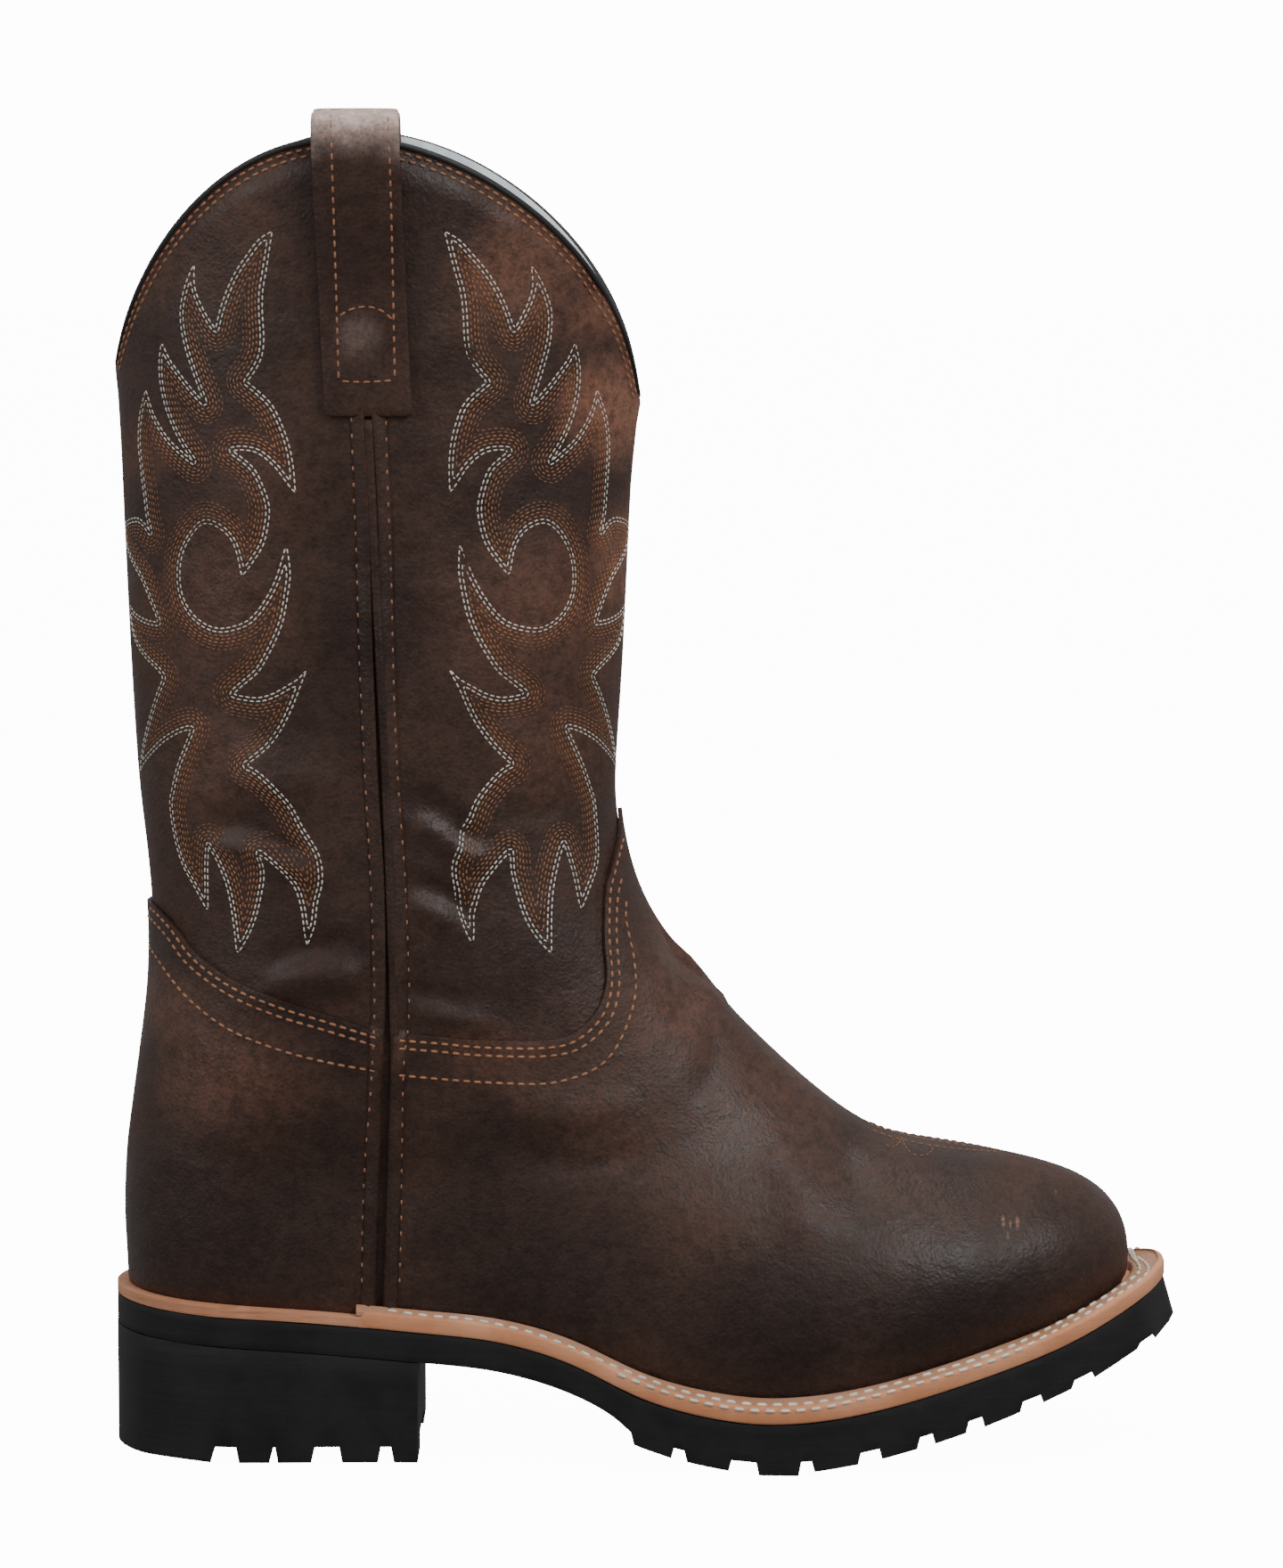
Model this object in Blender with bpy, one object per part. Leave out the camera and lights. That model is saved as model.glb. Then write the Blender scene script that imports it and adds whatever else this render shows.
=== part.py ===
# Western work boot: right boot, standing empty on its lugged sole.
# Metres, +X towards the toe, -Y the outer side, +Z up. The origin is the middle of the heel tread.
import math

import bmesh
import bpy
import numpy as np
from mathutils import Vector
from mathutils.bvhtree import BVHTree

# Last and shaft
LAST_LENGTH = 0.2935        # heel to toe of the inner form, at the edge where the upper meets the sole
BALL_WIDTH = 0.0960         # across the ball, at the same edge
TOE_SHIFT = 0.0040          # the toe swings to the inner side by this much
HEEL_TUCK = 0.0085          # how far the ankle draws in above the heel
THROAT_RISE = 0.1500        # heel seat to the narrowest part of the shaft
THROAT_DEPTH = 0.1395       # front to back at that part
THROAT_WIDTH = 0.0840
COLLAR_DEPTH = 0.1517       # front to back at the top of the shaft
COLLAR_WIDTH = 0.0940
FRONT_DIP = 0.1060          # throat to the lowest point of the collar in front
BACK_DIP = 0.1160
COLLAR_CROWN = 0.0722       # how far the collar arches up at the sides
BACK_SCOOP = 1.35           # power of the collar's curve: above 1 a wide scoop, below 1 a narrow one
FRONT_SCOOP = 1.04
CROWN_BACK = 0.020          # the crown sits behind the middle by this share of the shaft's depth
LENS = 1.30                 # power of the collar's plan: 1 an ellipse, above it pointed in front and behind
WALL = 0.0024               # leather and lining together

# Sole
SEAT_HEIGHT = 0.0440        # floor to the underside of the midsole at the heel
BALL_HEIGHT = 0.0146        # the same at the ball
TOE_SPRING = 0.0332         # rise of the sole from the ball to the toe
HEEL_MARGIN = 0.0040        # sole edge beyond the upper, behind the heel
TOE_MARGIN = 0.0118
MIDSOLE = 0.0030
WELT_EDGE = 0.0018          # thickness of the welt at its outer edge
WELT_ROOT = 0.0034          # and beside the upper
ROOT_LEAN = 0.0013          # the upper bulges this far over the root of the welt
INSOLE = 0.0030
INSOLE_CLEAR = 0.0014       # insole inside the lining, whose corners are cut by straight spans
OUTSOLE = 0.0084            # rubber under the arch and the heel
FORE_OUTSOLE = 0.0108       # and under the forepart, without its lugs
LUG = 0.0032                # depth of the forepart's lugs
HEEL_LUG = 0.0046           # and of the heel's
TOE_LUG = 0.45              # depth of the foremost lug, share of the others'
LUG_DRAFT = 0.0008
BREAST = 0.0864             # back of the last to the front face of the heel
REST = 0.0536               # back of the last to the origin
TOE_FLARE = 0.0032          # the rubber stands out below the welt in front

# Overlays, trim and clearances
LAYER = 0.0011              # vamp and counter leather over the upper
GAP = 0.0003                # between neighbouring pieces
PIPING_WIDTH = 0.0034
PIPING_HEIGHT = 0.0022
BINDING_WIDTH = 0.0034
BINDING_HEIGHT = 0.0009
BINDING_SEAT = 0.0012       # binding above the cut edge of the collar
STRAP_WIDTH = 0.0250
STRAP = 0.0022              # thickness of the pull strap
STRAP_DROP = 0.0790         # collar crown down to the strap's lower end
STRAP_LOOP = 0.0076         # strap above the collar crown
STRAP_SET_BACK = 0.0025     # the inner strap sits this much nearer the heel than the outer one
STRAP_BOW = 0.0048          # how far the strap stands off the shaft at the collar

UPPER_SEAT = 0.0005         # upper above the midsole, whose curve its straight spans cut
HALF_RING = 20              # spans from back to front on each side
EVEN = 0.50                 # 1 spaces them evenly, 0 crowds them at back and front
SOLE_STEPS = 33             # stations along the sole
FORE_STEP = 0.018           # length over which the rubber thickens towards the forepart, share of the last
ROUND_END = 0.10            # length of a layer's rounded ends, share of the last

# Half widths at the sole edge of the last, as shares of the ball width.
PLAN = [
    # station, outer, inner
    (0.00, 0.350, 0.350),
    (0.14, 0.352, 0.350),
    (0.26, 0.345, 0.325),
    (0.36, 0.355, 0.295),
    (0.44, 0.390, 0.300),
    (0.52, 0.435, 0.345),
    (0.60, 0.470, 0.420),
    (0.68, 0.488, 0.485),
    (0.76, 0.485, 0.512),
    (0.85, 0.465, 0.505),
    (1.00, 0.440, 0.480),
]

# Width of the ledge between the upper and the sole edge, as shares of the toe margin.
LEDGE = [
    # station, outer, inner
    (0.00, 0.44, 0.44),
    (0.26, 0.44, 0.42),
    (0.38, 0.50, 0.42),
    (0.52, 0.72, 0.56),
    (0.66, 0.84, 0.70),
    (0.85, 0.88, 0.82),
    (1.00, 0.92, 0.92),
]

# Underside of the midsole: from the ball (0) up to the heel seat or the toe (1).
SOLE_LINE_BACK = [
    # station, height
    (0.000, 1.000),
    (0.165, 0.915),
    (0.305, 0.790),
    (0.375, 0.720),
    (0.445, 0.540),
    (0.515, 0.220),
    (0.585, 0.050),
    (0.635, 0.000),
]
SOLE_LINE_FRONT = [
    # station, height
    (0.635, 0.000),
    (0.690, 0.035),
    (0.760, 0.155),
    (0.864, 0.405),
    (0.936, 0.610),
    (1.007, 0.890),
    (1.034, 1.000),
]

# Rings of the foot, from the sole edge to the throat.
# tuck: share of the heel tuck; heel, front: rise at the back and in front, shares of the throat rise;
# reach: 1 at the toe, 0 at the throat; follow: how far the ring follows the sole's line;
# full: share of the plan's width; round: 0 the plan's shape, 1 the plain oval of the throat;
# heel_end, toe_end: length of the rounded ends, shares of the ring; blunt: power of the front end.
FOOT = [
    # tuck, heel, reach, front, follow, full, round, heel_end, toe_end, blunt
    (0.12, 0.000, 0.993, 0.000, 1.00, 1.000, 0.00, 0.125, 0.330, 2.25),
    (0.08, 0.058, 1.000, 0.063, 0.93, 1.045, 0.00, 0.125, 0.330, 2.30),
    (0.02, 0.127, 0.975, 0.150, 0.82, 1.060, 0.05, 0.130, 0.340, 2.30),
    (0.05, 0.200, 0.885, 0.226, 0.62, 1.040, 0.15, 0.140, 0.440, 2.05),
    (0.14, 0.270, 0.693, 0.264, 0.36, 1.000, 0.30, 0.160, 0.560, 2.00),
    (0.30, 0.335, 0.547, 0.277, 0.18, 0.980, 0.50, 0.190, 0.620, 2.00),
    (0.48, 0.405, 0.437, 0.330, 0.08, 0.960, 0.65, 0.220, 0.640, 2.00),
    (0.67, 0.480, 0.300, 0.446, 0.03, 0.920, 0.80, 0.270, 0.620, 2.00),
    (0.90, 0.580, 0.165, 0.585, 0.00, 0.820, 0.92, 0.340, 0.570, 2.00),
    (0.97, 0.700, 0.062, 0.720, 0.00, 0.820, 1.00, 0.420, 0.530, 2.00),
    (0.80, 0.840, 0.014, 0.855, 0.00, 0.820, 1.00, 0.460, 0.510, 2.00),
    (0.48, 1.000, 0.000, 1.000, 0.00, 0.820, 1.00, 0.490, 0.500, 2.00),
]

# Rings of the shaft, from the throat to the collar.
# rise: share of the dips; flare: 0 the throat's depth and width, 1 the collar's; crown: share of the arch.
SHAFT = [
    # tuck, rise, flare, crown
    (0.30, 0.25, 0.32, 0.12),
    (0.15, 0.50, 0.48, 0.38),
    (0.02, 0.76, 0.66, 0.70),
    (-0.12, 1.00, 1.00, 1.00),
]

# Upper edges of the vamp and the counter in side view, from the seam. Heights are shares of the throat rise.
VAMP_EDGE = [
    # station, height
    (0.285, 0.478),
    (0.335, 0.466),
    (0.420, 0.460),
    (0.447, 0.478),
    (0.470, 0.535),
    (0.478, 0.600),
    (0.478, 0.690),
    (0.484, 0.790),
    (0.494, 0.880),
    (0.487, 0.930),
    (0.486, 1.000),
]
COUNTER_EDGE = [
    # station, height
    (0.262, 0.492),
    (0.215, 0.520),
    (0.140, 0.568),
    (0.085, 0.625),
    (0.050, 0.690),
    (0.012, 0.745),
]

# Side seam: distance from the back of the last, over the height of the boot.
SEAM = [
    # height, station
    (0.00, 0.262),
    (0.25, 0.274),
    (0.45, 0.270),
    (0.75, 0.254),
    (1.00, 0.241),
]

# Rows of lugs: where each starts and ends, and which columns of the sole it fills.
FORE_LUGS = [
    # start, end, columns
    (0.504, 0.546, "three"),
    (0.556, 0.602, "three"),
    (0.626, 0.670, "three"),
    (0.680, 0.728, "three"),
    (0.746, 0.786, "three"),
    (0.798, 0.834, "three"),
    (0.847, 0.888, "three"),
    (0.905, 0.937, "three"),
    (0.953, 1.000, "edges"),
    (1.012, 1.034, "all"),
]
HEEL_LUGS = [
    # start, end, columns
    (0.000, 0.130, "all"),
    (0.130, 0.340, "edges"),
    (0.414, 0.530, "three"),
    (0.540, 0.665, "three"),
    (0.747, 0.880, "three"),
    (0.914, 1.000, "edges"),
]
# Places across the sole, from the outer to the inner edge, that bound its columns, and the columns that lugs fill.
ACROSS = (0.0, 0.28, 0.37, 0.63, 0.72, 1.0)
FILLED = {"edges": (0, 4), "three": (0, 2, 4), "all": (0, 1, 2, 3, 4)}


def mix(a, b, t):
    return a + (b - a) * t


def smooth(rows, at, column=1):
    """Reads a column of a table as one smooth curve."""
    keys = [row[0] for row in rows]
    values = [row[column] for row in rows]
    if at <= keys[0]:
        return values[0]
    if at >= keys[-1]:
        return values[-1]
    i = max(k for k in range(len(keys) - 1) if keys[k] <= at)
    slopes = []
    for k in (i, i + 1):
        lo, hi = max(k - 1, 0), min(k + 1, len(keys) - 1)
        slopes.append((values[hi] - values[lo]) / (keys[hi] - keys[lo]))
    span = keys[i + 1] - keys[i]
    t = (at - keys[i]) / span
    return ((2 * t ** 3 - 3 * t ** 2 + 1) * values[i] + (t ** 3 - 2 * t ** 2 + t) * span * slopes[0]
            + (3 * t ** 2 - 2 * t ** 3) * values[i + 1] + (t ** 3 - t ** 2) * span * slopes[1])


def cap(distance, depth, power=2.0):
    """Rounded end of a ring: 0 at its tip, 1 from the given depth on."""
    t = min(max(distance / depth, 0.0), 1.0)
    return (1.0 - (1.0 - t) ** power) ** (1.0 / power)


def midsole_bottom(x):
    station = x / LAST_LENGTH
    ball = SOLE_LINE_FRONT[0][0]
    if station < ball:
        return BALL_HEIGHT + (SEAT_HEIGHT - BALL_HEIGHT) * smooth(SOLE_LINE_BACK, station)
    return BALL_HEIGHT + TOE_SPRING * smooth(SOLE_LINE_FRONT, station)


def upper_bottom(x):
    return midsole_bottom(x) + MIDSOLE + UPPER_SEAT


def foot_datum(x):
    return mix(upper_bottom(0.0), upper_bottom(LAST_LENGTH), x / LAST_LENGTH)


def centre_line(x):
    t = min(max(2.0 * x / LAST_LENGTH - 1.0, 0.0), 1.0)
    return TOE_SHIFT * t * t * (3.0 - 2.0 * t)


def plan_width(x, side):
    column = 1 if side < 0 else 2
    return smooth(PLAN, x / LAST_LENGTH, column) * BALL_WIDTH


THROAT_FRONT = 0.48 * HEEL_TUCK + THROAT_DEPTH
COLLAR_FRONT = SHAFT[-1][0] * HEEL_TUCK + COLLAR_DEPTH
THROAT_HEIGHT = upper_bottom(0.0) + THROAT_RISE
CROWN_HEIGHT = THROAT_HEIGHT + (FRONT_DIP + BACK_DIP) / 2.0 + COLLAR_CROWN


def foot_ring(row, along, side):
    tuck, heel, reach, front, follow, full, rounded, heel_end, toe_end, blunt = row
    back_x = tuck * HEEL_TUCK
    front_x = mix(THROAT_FRONT, LAST_LENGTH, reach)
    x = mix(back_x, front_x, along)
    sag = (upper_bottom(x) - foot_datum(x)) * (1.0 - along ** 4 * (1.0 - follow))
    z = foot_datum(x) + mix(heel, front, along) * THROAT_RISE + follow * sag
    width = mix(plan_width(x, side) * full, THROAT_WIDTH / 2.0, rounded)
    ends = cap(x - back_x, heel_end * (front_x - back_x)) * cap(front_x - x, toe_end * (front_x - back_x), blunt)
    return x, centre_line(x) + side * width * ends, z


def shaft_ring(row, along, side):
    tuck, rise, flare, crown = row
    back_x = tuck * HEEL_TUCK
    front_x = mix(THROAT_FRONT, COLLAR_FRONT, flare)
    x = mix(back_x, front_x, along)
    width = mix(THROAT_WIDTH, COLLAR_WIDTH, flare) / 2.0
    arch = math.sqrt(max(1.0 - (2.0 * along - 1.0) ** 2, 0.0))
    moved = along + CROWN_BACK * math.sin(math.pi * along)
    lift = math.sqrt(max(1.0 - (2.0 * moved - 1.0) ** 2, 0.0)) ** mix(BACK_SCOOP, FRONT_SCOOP, along)
    z = THROAT_HEIGHT + mix(BACK_DIP, FRONT_DIP, along) * rise + COLLAR_CROWN * crown * lift
    return x, side * width * arch ** mix(1.0, LENS, flare), z


def upper_grid():
    """The outer face of the upper: rings from the sole edge to the collar, each from the back round to the back."""
    curves = []
    around = [(i, -1) for i in range(HALF_RING + 1)] + [(i, 1) for i in range(HALF_RING - 1, 0, -1)]
    for i, side in around:
        share = i / HALF_RING
        along = mix((1.0 - math.cos(math.pi * share)) / 2.0, share, EVEN * math.sin(math.pi * share))
        points = [foot_ring(row, along, side) for row in FOOT]
        points += [shaft_ring(row, along, side) for row in SHAFT]
        steps = [n / 2.0 for n in range(2 * len(FOOT) - 1)] + list(range(len(FOOT), len(points)))
        curves.append([[smooth([(n, p[axis]) for n, p in enumerate(points)], t) for axis in range(3)]
                       for t in steps])
    return np.array(curves).transpose(1, 0, 2)


def grid_normals(grid):
    around = np.roll(grid, -1, axis=1) - np.roll(grid, 1, axis=1)
    along = np.gradient(grid, axis=0)
    normals = np.cross(around, along)
    return normals / np.linalg.norm(normals, axis=2, keepdims=True)


def offset_grid(grid, distance):
    """The same form grown or shrunk: its lower edge stays on the sole, and its collar at its height."""
    normals = grid_normals(grid)
    for edge in (0, -1):
        normals[edge, :, 2] = 0.0
        normals[edge] /= np.linalg.norm(normals[edge], axis=1, keepdims=True)
    grown = grid + normals * distance
    grown[0, :, 2] = [upper_bottom(x) for x in grown[0, :, 0]]
    return grown


def to_world(point):
    return Vector((float(point[0]) - REST, float(point[1]), float(point[2])))


def material(name, colour, roughness):
    made = bpy.data.materials.new(name)
    made.use_nodes = True
    shader = made.node_tree.nodes["Principled BSDF"]
    shader.inputs["Base Color"].default_value = (*colour, 1.0)
    shader.inputs["Roughness"].default_value = roughness
    shader.inputs["Metallic"].default_value = 0.0
    return made


def add_object(name, bm, finish, sharp=40.0):
    mesh = bpy.data.meshes.new(name)
    bmesh.ops.recalc_face_normals(bm, faces=bm.faces[:])
    bm.to_mesh(mesh)
    bm.free()
    mesh.shade_smooth()
    mesh.set_sharp_from_angle(angle=math.radians(sharp))
    made = bpy.data.objects.new(name, mesh)
    bpy.context.scene.collection.objects.link(made)
    if finish:
        mesh.materials.append(finish)
    return made


def add_rings(bm, grid):
    return [[bm.verts.new(to_world(p)) for p in ring] for ring in grid]


def bridge_rings(bm, rings, closed=True):
    """Quads between neighbouring rings of the same count."""
    for low, high in zip(rings, rings[1:]):
        count = len(low)
        for j in range(count if closed else count - 1):
            nxt = (j + 1) % count
            bm.faces.new((low[j], low[nxt], high[nxt], high[j]))


def upper_shell(grid):
    """One hollow wall, open at the collar and underneath."""
    bm = bmesh.new()
    outer = add_rings(bm, grid)
    inner = add_rings(bm, offset_grid(grid, -WALL))
    bridge_rings(bm, outer)
    bridge_rings(bm, inner)
    bridge_rings(bm, [outer[0], inner[0]])
    bridge_rings(bm, [outer[-1], inner[-1]])
    return bm


def closed_form(grid, reach_past):
    """The form as a solid block, carried past its open edges when it is used as a cutter."""
    bm = bmesh.new()
    rows = [ring.copy() for ring in grid]
    if reach_past:
        for end, direction in ((0, -1.0), (-1, 1.0)):
            extra = rows[end].copy()
            extra[:, 2] += direction * reach_past
            rows.insert(0 if end == 0 else len(rows), extra)
    rings = add_rings(bm, rows)
    bridge_rings(bm, rings)
    for end in (rings[0], rings[-1]):
        half = len(end) // 2
        pairs = [(end[0], end[0])] + [(end[i], end[-i]) for i in range(1, half)] + [(end[half], end[half])]
        for (a, b), (c, d) in zip(pairs, pairs[1:]):
            bm.faces.new(list(dict.fromkeys((a, b, d, c))))
    return bm


def side_prism(outline, name):
    """A cutter: an outline in side view, carried right across the boot."""
    bm = bmesh.new()
    reach = BALL_WIDTH
    near = [bm.verts.new(to_world((x, -reach, z))) for x, z in outline]
    face = bm.faces.new(near)
    made = bmesh.ops.extrude_face_region(bm, geom=[face])["geom"]
    moved = [item for item in made if isinstance(item, bmesh.types.BMVert)]
    bmesh.ops.translate(bm, verts=moved, vec=(0.0, 2.0 * reach, 0.0))
    cutter = add_object(name, bm, None)
    hide_cutter(cutter)
    return cutter


def hide_cutter(cutter):
    cutter.hide_render = True
    cutter.display_type = "WIRE"


def edge_points(rows, steps=2):
    """A panel edge as heights above the heel seat, made smooth through its rows."""
    points = []
    for k in range((len(rows) - 1) * steps + 1):
        t = k / steps
        x = smooth([(n, row[0]) for n, row in enumerate(rows)], t) * LAST_LENGTH
        z = upper_bottom(0.0) + smooth([(n, row[1]) for n, row in enumerate(rows)], t) * THROAT_RISE
        points.append((x, z))
    return points


def seam_x(z):
    return smooth(SEAM, z / CROWN_HEIGHT) * LAST_LENGTH


def seam_side(direction, top):
    """The panel edge beside the piping, from the sole to the given height."""
    clear = direction * (PIPING_WIDTH / 2.0 + GAP)
    heights = [top * n / 6.0 for n in range(7)]
    return [(seam_x(z) + clear, z) for z in heights]


def panel(name, grid, outline, finish):
    """Leather laid over the upper, cut between two larger forms."""
    outer = closed_form(offset_grid(grid, GAP + LAYER), 0.0)
    made = add_object(name, outer, finish)
    inner = add_object(name + "_inside", closed_form(offset_grid(grid, GAP), 0.02), None)
    hide_cutter(inner)
    cut = made.modifiers.new("inside", "BOOLEAN")
    cut.operation = "DIFFERENCE"
    cut.solver = "EXACT"
    cut.object = inner
    trim = made.modifiers.new("outline", "BOOLEAN")
    trim.operation = "INTERSECT"
    trim.solver = "EXACT"
    trim.object = side_prism(outline, name + "_outline")
    return made


def vamp_outline():
    edge = edge_points(VAMP_EDGE)
    back = seam_side(1.0, edge[0][1])
    edge[0] = back[-1]
    front = LAST_LENGTH + TOE_MARGIN
    return back + edge[1:] + [(front, edge[-1][1]), (front, 0.0)]


def counter_outline():
    edge = edge_points(COUNTER_EDGE)
    front = seam_side(-1.0, edge[0][1])
    edge[0] = front[-1]
    back = -HEEL_MARGIN
    return front + edge[1:] + [(back, edge[-1][1]), (back, 0.0)]


def outline_at(x, heel, toe, ledge):
    """Both edges of a sole layer at one station: the last's outline grown at the heel, sides and toe."""
    tuck, reach = FOOT[0][0], FOOT[0][2]
    back_x = tuck * HEEL_TUCK - heel
    front_x = mix(THROAT_FRONT, LAST_LENGTH, reach) + toe
    length = front_x - back_x
    ends = cap(x - back_x, FOOT[0][7] * length) * cap(front_x - x, FOOT[0][8] * length, FOOT[0][9])
    edges = []
    for side in (-1, 1):
        margin = ledge(x, side)
        edges.append(centre_line(x) + side * (plan_width(x, side) + margin) * ends)
    return edges


def sole_ledge(x, side):
    column = 1 if side < 0 else 2
    return smooth(LEDGE, x / LAST_LENGTH, column) * TOE_MARGIN


def sole_edges(x):
    return outline_at(x, HEEL_MARGIN, TOE_MARGIN, sole_ledge)


def span_stations(start, end, count, round_start, round_end):
    """Stations closer together at a rounded end."""
    made = []
    for i in range(count + 1):
        t = i / count
        if round_start and round_end:
            t = (1.0 - math.cos(math.pi * t)) / 2.0
        elif round_start:
            t = 1.0 - math.cos(math.pi * t / 2.0)
        elif round_end:
            t = math.sin(math.pi * t / 2.0)
        made.append(mix(start, end, t))
    return made


def slab(stations, edges, top, bottom, across=(0.0, 1.0)):
    """A layer of the sole between two heights, its underside divided across for the lugs."""
    bm = bmesh.new()
    tops, lows = [], []
    for x in stations:
        outer, inner = edges(x)
        tops.append([bm.verts.new(to_world((x, y, top(x)))) for y in (outer, inner)])
        lows.append([bm.verts.new(to_world((x, mix(outer, inner, t), bottom(x)))) for t in across])
    cells = {}
    for i in range(len(stations) - 1):
        bm.faces.new((tops[i][0], tops[i][1], tops[i + 1][1], tops[i + 1][0]))
        bm.faces.new((tops[i][0], tops[i + 1][0], lows[i + 1][0], lows[i][0]))
        bm.faces.new((tops[i][1], lows[i][-1], lows[i + 1][-1], tops[i + 1][1]))
        for j in range(len(across) - 1):
            cells[i, j] = bm.faces.new((lows[i][j], lows[i + 1][j], lows[i + 1][j + 1], lows[i][j + 1]))
    for i in (0, -1):
        bm.faces.new(tops[i] + lows[i][::-1])
    return bm, cells


def add_lugs(bm, cells, stations, lugs, tip):
    """Draws the lug cells down to the tread, with drafted ends."""
    chosen = []
    for (i, j), face in cells.items():
        middle = (stations[i] + stations[i + 1]) / 2.0
        if any(start < middle < end and j in FILLED[columns] for start, end, columns in lugs):
            chosen.append(face)
    made = bmesh.ops.extrude_face_region(bm, geom=chosen)["geom"]
    bmesh.ops.delete(bm, geom=chosen, context="FACES")
    starts = [lug[0] for lug in lugs]
    ends = [lug[1] for lug in lugs]
    near = GAP / 2.0
    for vert in [item for item in made if isinstance(item, bmesh.types.BMVert)]:
        x = vert.co.x + REST
        at_start = any(abs(x - edge) < near for edge in starts) and not any(abs(x - edge) < near for edge in ends)
        at_end = any(abs(x - edge) < near for edge in ends) and not any(abs(x - edge) < near for edge in starts)
        if at_start and x > stations[0] + near:
            vert.co.x += LUG_DRAFT
        if at_end and x < stations[-1] - near:
            vert.co.x -= LUG_DRAFT
        vert.co.z = tip(vert.co.x + REST)


def lug_rows(table, start, length):
    return [(start + first * length, start + last * length, columns) for first, last, columns in table]


def outsole_top(x):
    return midsole_bottom(x) - GAP


def outsole_bottom(x):
    start = FORE_LUGS[0][0]
    forward = min(max((x / LAST_LENGTH - start + FORE_STEP) / FORE_STEP, 0.0), 1.0)
    return outsole_top(x) - mix(OUTSOLE, FORE_OUTSOLE, forward)


def fore_tip(x):
    """Lug tips follow the sole and are cut flat where the forepart stands on the floor."""
    flat = FORE_LUGS[2]
    if flat[0] * LAST_LENGTH < x < flat[1] * LAST_LENGTH:
        return 0.0
    forward = min(max((x / LAST_LENGTH - 0.85) / 0.15, 0.0), 1.0)
    return max(outsole_bottom(x) - LUG * mix(1.0, TOE_LUG, forward), GAP)


def flare_toe(bm):
    """Leans the front face of the rubber out below the welt."""
    start = (1.0 - ROUND_END) * LAST_LENGTH
    for vert in bm.verts:
        x = vert.co.x + REST
        share = max(x - start, 0.0) / (LAST_LENGTH + TOE_MARGIN - start)
        depth = (outsole_top(x) - vert.co.z) / (FORE_OUTSOLE + LUG)
        vert.co.x += TOE_FLARE * share * min(depth / 0.7, 1.0)


def outsole():
    back_x = FOOT[0][0] * HEEL_TUCK - HEEL_MARGIN
    front_x = mix(THROAT_FRONT, LAST_LENGTH, FOOT[0][2]) + TOE_MARGIN
    lugs = lug_rows(FORE_LUGS, 0.0, LAST_LENGTH)
    marks = [x for lug in lugs for x in lug[:2] if x < front_x - GAP]
    sliver = GAP / 2.0
    stations = span_stations(back_x + sliver, BREAST, 8, True, False) + marks
    stations += span_stations(marks[-1], front_x - sliver, 4, False, True)[1:]
    between = [x for x in common_stations() if BREAST < x < marks[-1]]
    stations += [x for x in between if min(abs(x - mark) for mark in marks) > LUG_DRAFT]
    stations = sorted(set(stations))
    bm, cells = slab(stations, sole_edges, outsole_top, outsole_bottom, ACROSS)
    add_lugs(bm, cells, stations, lugs, fore_tip)
    flare_toe(bm)
    return bm


def heel():
    back_x = FOOT[0][0] * HEEL_TUCK - HEEL_MARGIN
    lugs = lug_rows(HEEL_LUGS, back_x, BREAST - back_x)
    marks = sorted(set(x for lug in lugs for x in lug[:2]))[1:]
    sliver = GAP / 2.0
    stations = sorted(set(span_stations(back_x + sliver, marks[0], 4, True, False) + marks))
    bm, cells = slab(stations, sole_edges, lambda x: outsole_bottom(x) - GAP, lambda x: HEEL_LUG, ACROSS)
    add_lugs(bm, cells, stations, lugs, lambda x: 0.0)
    return bm


def common_stations():
    return [LAST_LENGTH * n / SOLE_STEPS for n in range(SOLE_STEPS + 1)]


def whole_stations(start, end):
    """Common stations along the sole, with closer ones at the rounded ends of a layer."""
    sliver = GAP / 2.0
    turn = ROUND_END * LAST_LENGTH
    stations = span_stations(start + sliver, start + turn, 5, True, False)
    stations += span_stations(end - turn, end - sliver, 6, False, True)
    stations += [x for x in common_stations() if start + turn < x < end - turn]
    return sorted(stations)


def midsole():
    back_x = FOOT[0][0] * HEEL_TUCK - HEEL_MARGIN
    front_x = mix(THROAT_FRONT, LAST_LENGTH, FOOT[0][2]) + TOE_MARGIN
    stations = whole_stations(back_x, front_x)
    return slab(stations, sole_edges, lambda x: midsole_bottom(x) + MIDSOLE, midsole_bottom)[0]


def insole():
    inset = WALL + INSOLE_CLEAR
    back_x = FOOT[0][0] * HEEL_TUCK + inset
    front_x = mix(THROAT_FRONT, LAST_LENGTH, FOOT[0][2]) - inset
    stations = whole_stations(back_x, front_x)

    def edges(x):
        return outline_at(x, -inset, -inset, lambda at, side: -inset)

    return slab(stations, edges, lambda x: upper_bottom(x) + INSOLE, upper_bottom)[0]


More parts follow.
